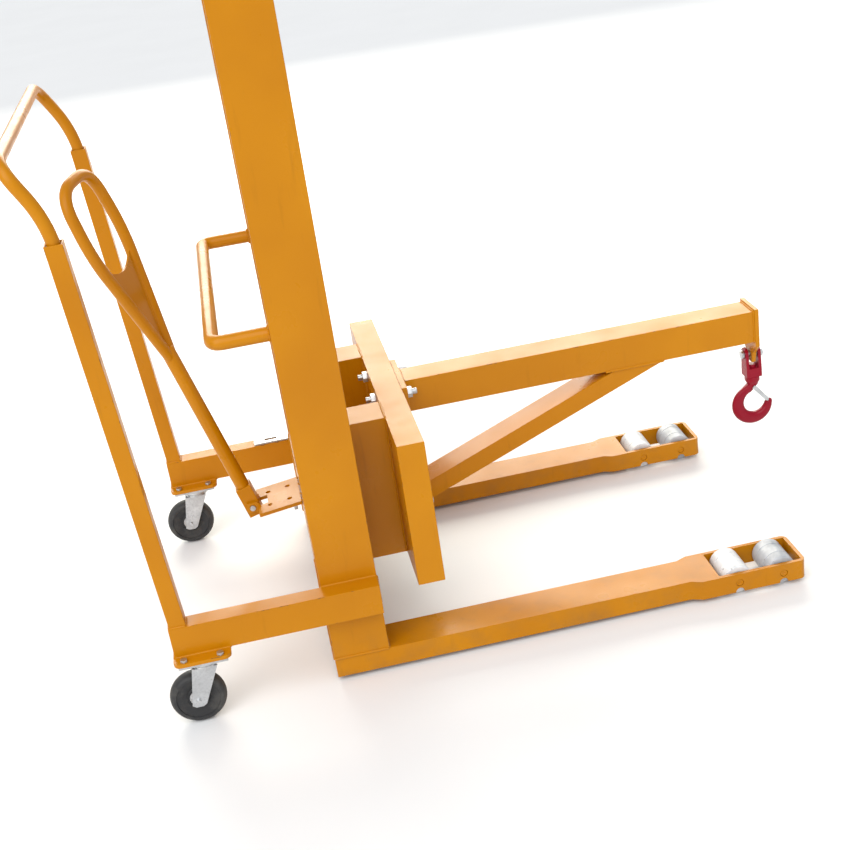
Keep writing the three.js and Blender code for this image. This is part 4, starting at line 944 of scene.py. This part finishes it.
HOOK_STEPS = 40
HOOK_FACETS = 32
HOOK_SHARP = radians(40)
HOOK_SQUARENESS = 0.8  # below 1 the sections are fuller than an ellipse
LATCH_HEIGHT = 0.050  # of its pin above the hook's centre
OUTER_ARC = (-0.06 * pi, -1.3 * pi)  # from the tip round to the neck
INNER_ARC = (-0.1 * pi, -1.42 * pi)
OUTER_RADIUS = 0.056
OUTER_SWELL = 0.008
BOWL_CENTRE = (0.004, 0.003)
BOWL_RADII = (0.032, 0.033)
HOOK_HALF_THICK = 0.013
THINNING = 0.28  # share of the thickness lost towards the ends
FULLEST = 1.4  # it is thickest 1 / (2 * FULLEST) of the way from its tip
# Steps beyond the first section, and what share of its size is left, from the tip inwards.
TIP_TAPER = ((2.4, 0.25), (2.0, 0.62), (1.2, 0.85))
TIP_STEP = Vector((0.002, 0, 0.0045))
# Heights above the hook's centre and radii, up to the collar.
NECK = ((0.058, 0.0145), (0.064, 0.0165), (0.070, 0.0198), (0.0825, 0.02), (0.0835, 0.019))
SHANK_RADIUS = 0.008
SHANK_FOOT = 0.080
SHANK_HEAD_RADIUS = 0.0122
SHANK_HEAD = 0.009
SHANK_CHAMFER = 0.001


def on_arc(centre, radii, angle):
    return Vector((centre[0] + radii[0] * cos(angle), 0, centre[1] + radii[1] * sin(angle)))


def hook_sections(origin):
    """Sections along the hook: centre, in-plane direction, half depth in the plane, half thickness."""
    sections = []
    for i in range(HOOK_STEPS + 1):
        t = i / HOOK_STEPS
        outer_angle, inner_angle = (a + (b - a) * t for a, b in (OUTER_ARC, INNER_ARC))
        outer_radius = OUTER_RADIUS + OUTER_SWELL * sin(pi * t)
        outer = on_arc((0, 0), (outer_radius, outer_radius), outer_angle)
        inner = on_arc(BOWL_CENTRE, BOWL_RADII, inner_angle)
        across = outer - inner
        fullness = sin(pi * min(1, t * FULLEST))
        thick = HOOK_HALF_THICK * (1 - THINNING + THINNING * fullness)
        sections.append(((outer + inner) / 2, across.normalized(), across.length / 2, thick))
    middle, way, reach, thick = sections[0]
    tip = [(middle + TIP_STEP * k, way, reach * share, thick * share) for k, share in TIP_TAPER]
    neck = [(Vector((0, 0, z)), Vector((-1, 0, 0)), r, r) for z, r in NECK]
    return [(m + origin, w, r, t) for m, w, r, t in tip + sections + neck]


def section_ring(bm, middle, way, reach, thick):
    ring = []
    for k in range(HOOK_FACETS):
        angle = 2 * pi * k / HOOK_FACETS
        c, s = cos(angle), sin(angle)
        u = copysign(abs(c) ** HOOK_SQUARENESS, c) * reach
        v = copysign(abs(s) ** HOOK_SQUARENESS, s) * thick
        ring.append(bm.verts.new(middle + way * u + Vector((0, v, 0))))
    return ring


def make_hook():
    """A drop-forged hook: oval sections that thicken round the bowl and run into a round collar."""
    centre_x = JOINTS["hook_turn"]["pos_m"][0]
    centre_z = JOINTS["latch_open"]["pos_m"][2] - LATCH_HEIGHT
    origin = Vector((centre_x, 0, centre_z))
    bm = bmesh.new()
    skin(bm, [section_ring(bm, *section) for section in hook_sections(origin)])
    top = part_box("hook")[1].z - centre_z
    head = top - SHANK_HEAD
    shank = [(0, SHANK_FOOT), (SHANK_RADIUS, SHANK_FOOT), (SHANK_RADIUS, head - SHANK_CHAMFER / 2),
             (SHANK_HEAD_RADIUS, head), (SHANK_HEAD_RADIUS, top - SHANK_CHAMFER),
             (SHANK_HEAD_RADIUS - SHANK_CHAMFER, top), (0, top)]
    turn_profile(bm, shank, origin, UPWARDS, HOOK_FACETS)
    stand_for("hook", "hook_forged", bm, "hook_red", sharp=HOOK_SHARP)


# ---- Welds on the frame and the carriage ---------------------

JIB_WELD = 0.0042
HEAD_INSET = 0.002  # of its weld from the plate's edge
HEAD_STOP = 0.004  # of its weld below the plate's top
TABLE_EARS = (0.026, 0.066)  # where its tacks begin, from the middle
TABLE_TACK = 0.008  # length
EDGE_DROP = 0.001  # of welds that run along a top edge
BRACE_SIZE = 0.050
BRACE_END_HEIGHT = 0.053  # of the cut against the flange
SIDE_ARM = (0.162, 0.268)  # inner and outer face of the carriage's side arms


def frame_welds(bm):
    """Round the feet of the mast, the rails, posts and pads, and at the base, head and table."""
    for side, sign in SIDES:
        mast_low, mast_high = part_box(f"mast_channel_{side}")
        rail_low, rail_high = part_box(f"rail_{side}")
        post_low, post_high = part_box(f"post_{side}")
        pad_low, pad_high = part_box(f"caster_pad_{side}")
        base_low, base_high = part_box("mast_base")
        head_low, head_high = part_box("mast_head")
        web = sign * max(abs(mast_low.y), abs(mast_high.y))
        mouth = sign * min(abs(mast_low.y), abs(mast_high.y))
        foot = mast_low.z
        weld_bead(bm, (mast_low.x, web, foot), (mast_high.x, web, foot))
        weld_bead(bm, (mast_high.x, web, foot), (mast_high.x, mouth, foot))
        weld_bead(bm, (mast_low.x, web, foot), (mast_low.x, mouth, foot))
        for z in (rail_low.z, rail_high.z):
            weld_bead(bm, (mast_low.x, web, z), (mast_high.x, web, z))
        for x in (mast_low.x, mast_high.x):
            weld_bead(bm, (x, web, rail_low.z), (x, web, rail_high.z))
        size = post_high.y - post_low.y
        weld_rectangle(bm, 2, post_low.z, (post_high.x - size, post_high.x), (post_low.y, post_high.y))
        pad_x = (max(pad_low.x, rail_low.x), pad_high.x)
        weld_rectangle(bm, 2, pad_high.z, pad_x, (rail_low.y, rail_high.y))
        weld_bead(bm, (base_low.x, mouth, base_low.z), (base_low.x, mouth, base_high.z))
        head_x = head_low.x + HEAD_INSET
        weld_bead(bm, (head_x, mouth, head_low.z), (head_x, mouth, head_high.z - HEAD_STOP))
    table_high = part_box("pump_table")[1]
    tack_z = table_high.z - EDGE_DROP
    for y in TABLE_EARS:
        for sign in (NEAR, FAR):
            weld_bead(bm, (table_high.x, sign * y, tack_z), (table_high.x, sign * (y + TABLE_TACK), tack_z))


def brace_welds(bm):
    """Round both ends of the brace, which leans from the flange up to the beam."""
    low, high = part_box("jib_brace")
    slope = atan2(high.z - low.z - BRACE_END_HEIGHT, high.x - low.x)
    depth = BRACE_SIZE / cos(slope)
    weld_rectangle(bm, 0, low.x, (low.y, high.y), (low.z, low.z + depth), JIB_WELD)
    heel = high.x - BRACE_SIZE / sin(slope)
    for y in (low.y, high.y):
        weld_bead(bm, (heel, y, high.z), (high.x, y, high.z))
    weld_bead(bm, (high.x, low.y, high.z), (high.x, high.y, high.z))


def carriage_welds(bm):
    """Round the jib's beam and brace, down the side arms and along the ends of the chain bar."""
    beam_low, beam_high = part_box("jib_beam")
    box_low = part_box("carriage_box")[0]
    bar_low, bar_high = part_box("chain_bar")
    beam_y, beam_z = (beam_low.y, beam_high.y), (beam_low.z, beam_high.z)
    weld_rectangle(bm, 0, beam_low.x, beam_y, beam_z, JIB_WELD)
    weld_rectangle(bm, 0, beam_high.x, beam_y, beam_z)
    brace_welds(bm)
    inner, outer = SIDE_ARM
    for side, sign in SIDES:
        arm_low, arm_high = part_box(f"carriage_side_{side}")
        for y in SIDE_ARM:
            weld_bead(bm, (box_low.x, sign * y, arm_low.z), (box_low.x, sign * y, arm_high.z))
        top = arm_high.z - EDGE_DROP
        weld_bead(bm, (box_low.x, sign * inner, top), (box_low.x, sign * outer, top))
        bar_end = sign * abs(bar_high.y)
        for z in (bar_low.z, bar_high.z):
            weld_bead(bm, (bar_low.x, bar_end, z), (bar_high.x, bar_end, z))


WELD_SHARP = radians(60)


def make_welds():
    for name, node, build in (("welds_on_frame", "mast_base", frame_welds),
                              ("welds_on_carriage", "carriage_box", carriage_welds)):
        bm = bmesh.new()
        build(bm)
        add_piece(name, finish_mesh(bm, name, WELD_SHARP), node, MATERIALS["orange_paint"])


# ---- Steelwork -----------------------------------------------

TRACK_DEPTH = 0.0102  # from the outside of a mast flange to its track
TRACK_SLACK = 0.002  # for the roundness of the corners
SQUARE_ENOUGH = 0.95  # share of a track face's normal that points along X
SMALL_EDGE = 0.0009  # edge radius of plated hardware
BOLT_EDGE = 0.0010

WELDED_STEEL = ["mast_base", "mast_head", "pump_table", "lever_foot", "chain_bar", "carriage_box",
                "jib_flange", "jib_beam", "jib_brace", "jib_end_plate", "pump_body", "lift_ram", "rail_tab"]
SIDE_STEEL = ["leg", "rail", "caster_pad", "post", "carriage_side"]
HARDWARE = ["pump_piston", "release_valve", "lever_pin", "hook_clevis", "hook_pin", "hook_latch"]


def make_mast():
    """The channels, with greased tracks where the guide rollers run."""
    for side, _ in SIDES:
        piece = refined(f"mast_channel_{side}")
        piece.data.materials.append(MATERIALS["track"])
        low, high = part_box(f"mast_channel_{side}")
        track_from = low.x + TRACK_DEPTH - TRACK_SLACK
        track_to = high.x - TRACK_DEPTH + TRACK_SLACK
        for face in piece.data.polygons:
            if track_from < face.center.x < track_to and abs(face.normal.x) > SQUARE_ENOUGH:
                face.material_index = 1


def make_steelwork():
    for node in WELDED_STEEL:
        refined(node)
    for kind in SIDE_STEEL:
        for side, _ in SIDES:
            refined(f"{kind}_{side}")
    for node in HARDWARE:
        refined(node, SMALL_EDGE)
    for side, _ in SIDES:
        refined(f"caster_mount_{side}", SMALL_EDGE)
        refined(f"caster_fork_{side}", SMALL_EDGE)
        for level in ("upper", "lower"):
            refined(f"flange_bolt_{level}_{side}", BOLT_EDGE)


# ---- Floor ---------------------------------------------------

FLOOR_SIZE = 60
FLOOR_LIGHT = (0.83, 0.835, 0.84)
FLOOR_DARK = (0.81, 0.815, 0.82)


def make_floor():
    """A plain pale floor that runs so far back that only its horizon shows."""
    bpy.ops.mesh.primitive_plane_add(size=FLOOR_SIZE, location=(0, 0, 0))
    floor = bpy.context.object
    floor.name = "floor"
    surface = Surface("pale_floor", 0.6)
    tone = surface.between(surface.noise(1.2, 3.0), 0.3, 0.7)
    colour = surface.blend(tone, FLOOR_LIGHT, FLOOR_DARK)
    surface.bump((surface.noise(90.0, 3.0), 0.0002))
    floor.data.materials.append(surface.finish(base_color=colour))


# ---- Assembly ------------------------------------------------

make_camera()
make_lights()
make_floor()
MATERIALS = make_materials()
make_steelwork()
make_mast()
make_wheels()
make_axles()
make_pulley()
make_push_handle()
make_grab_bar()
make_pump_lever()
make_cylinder()
make_chain()
make_hook()
make_welds()
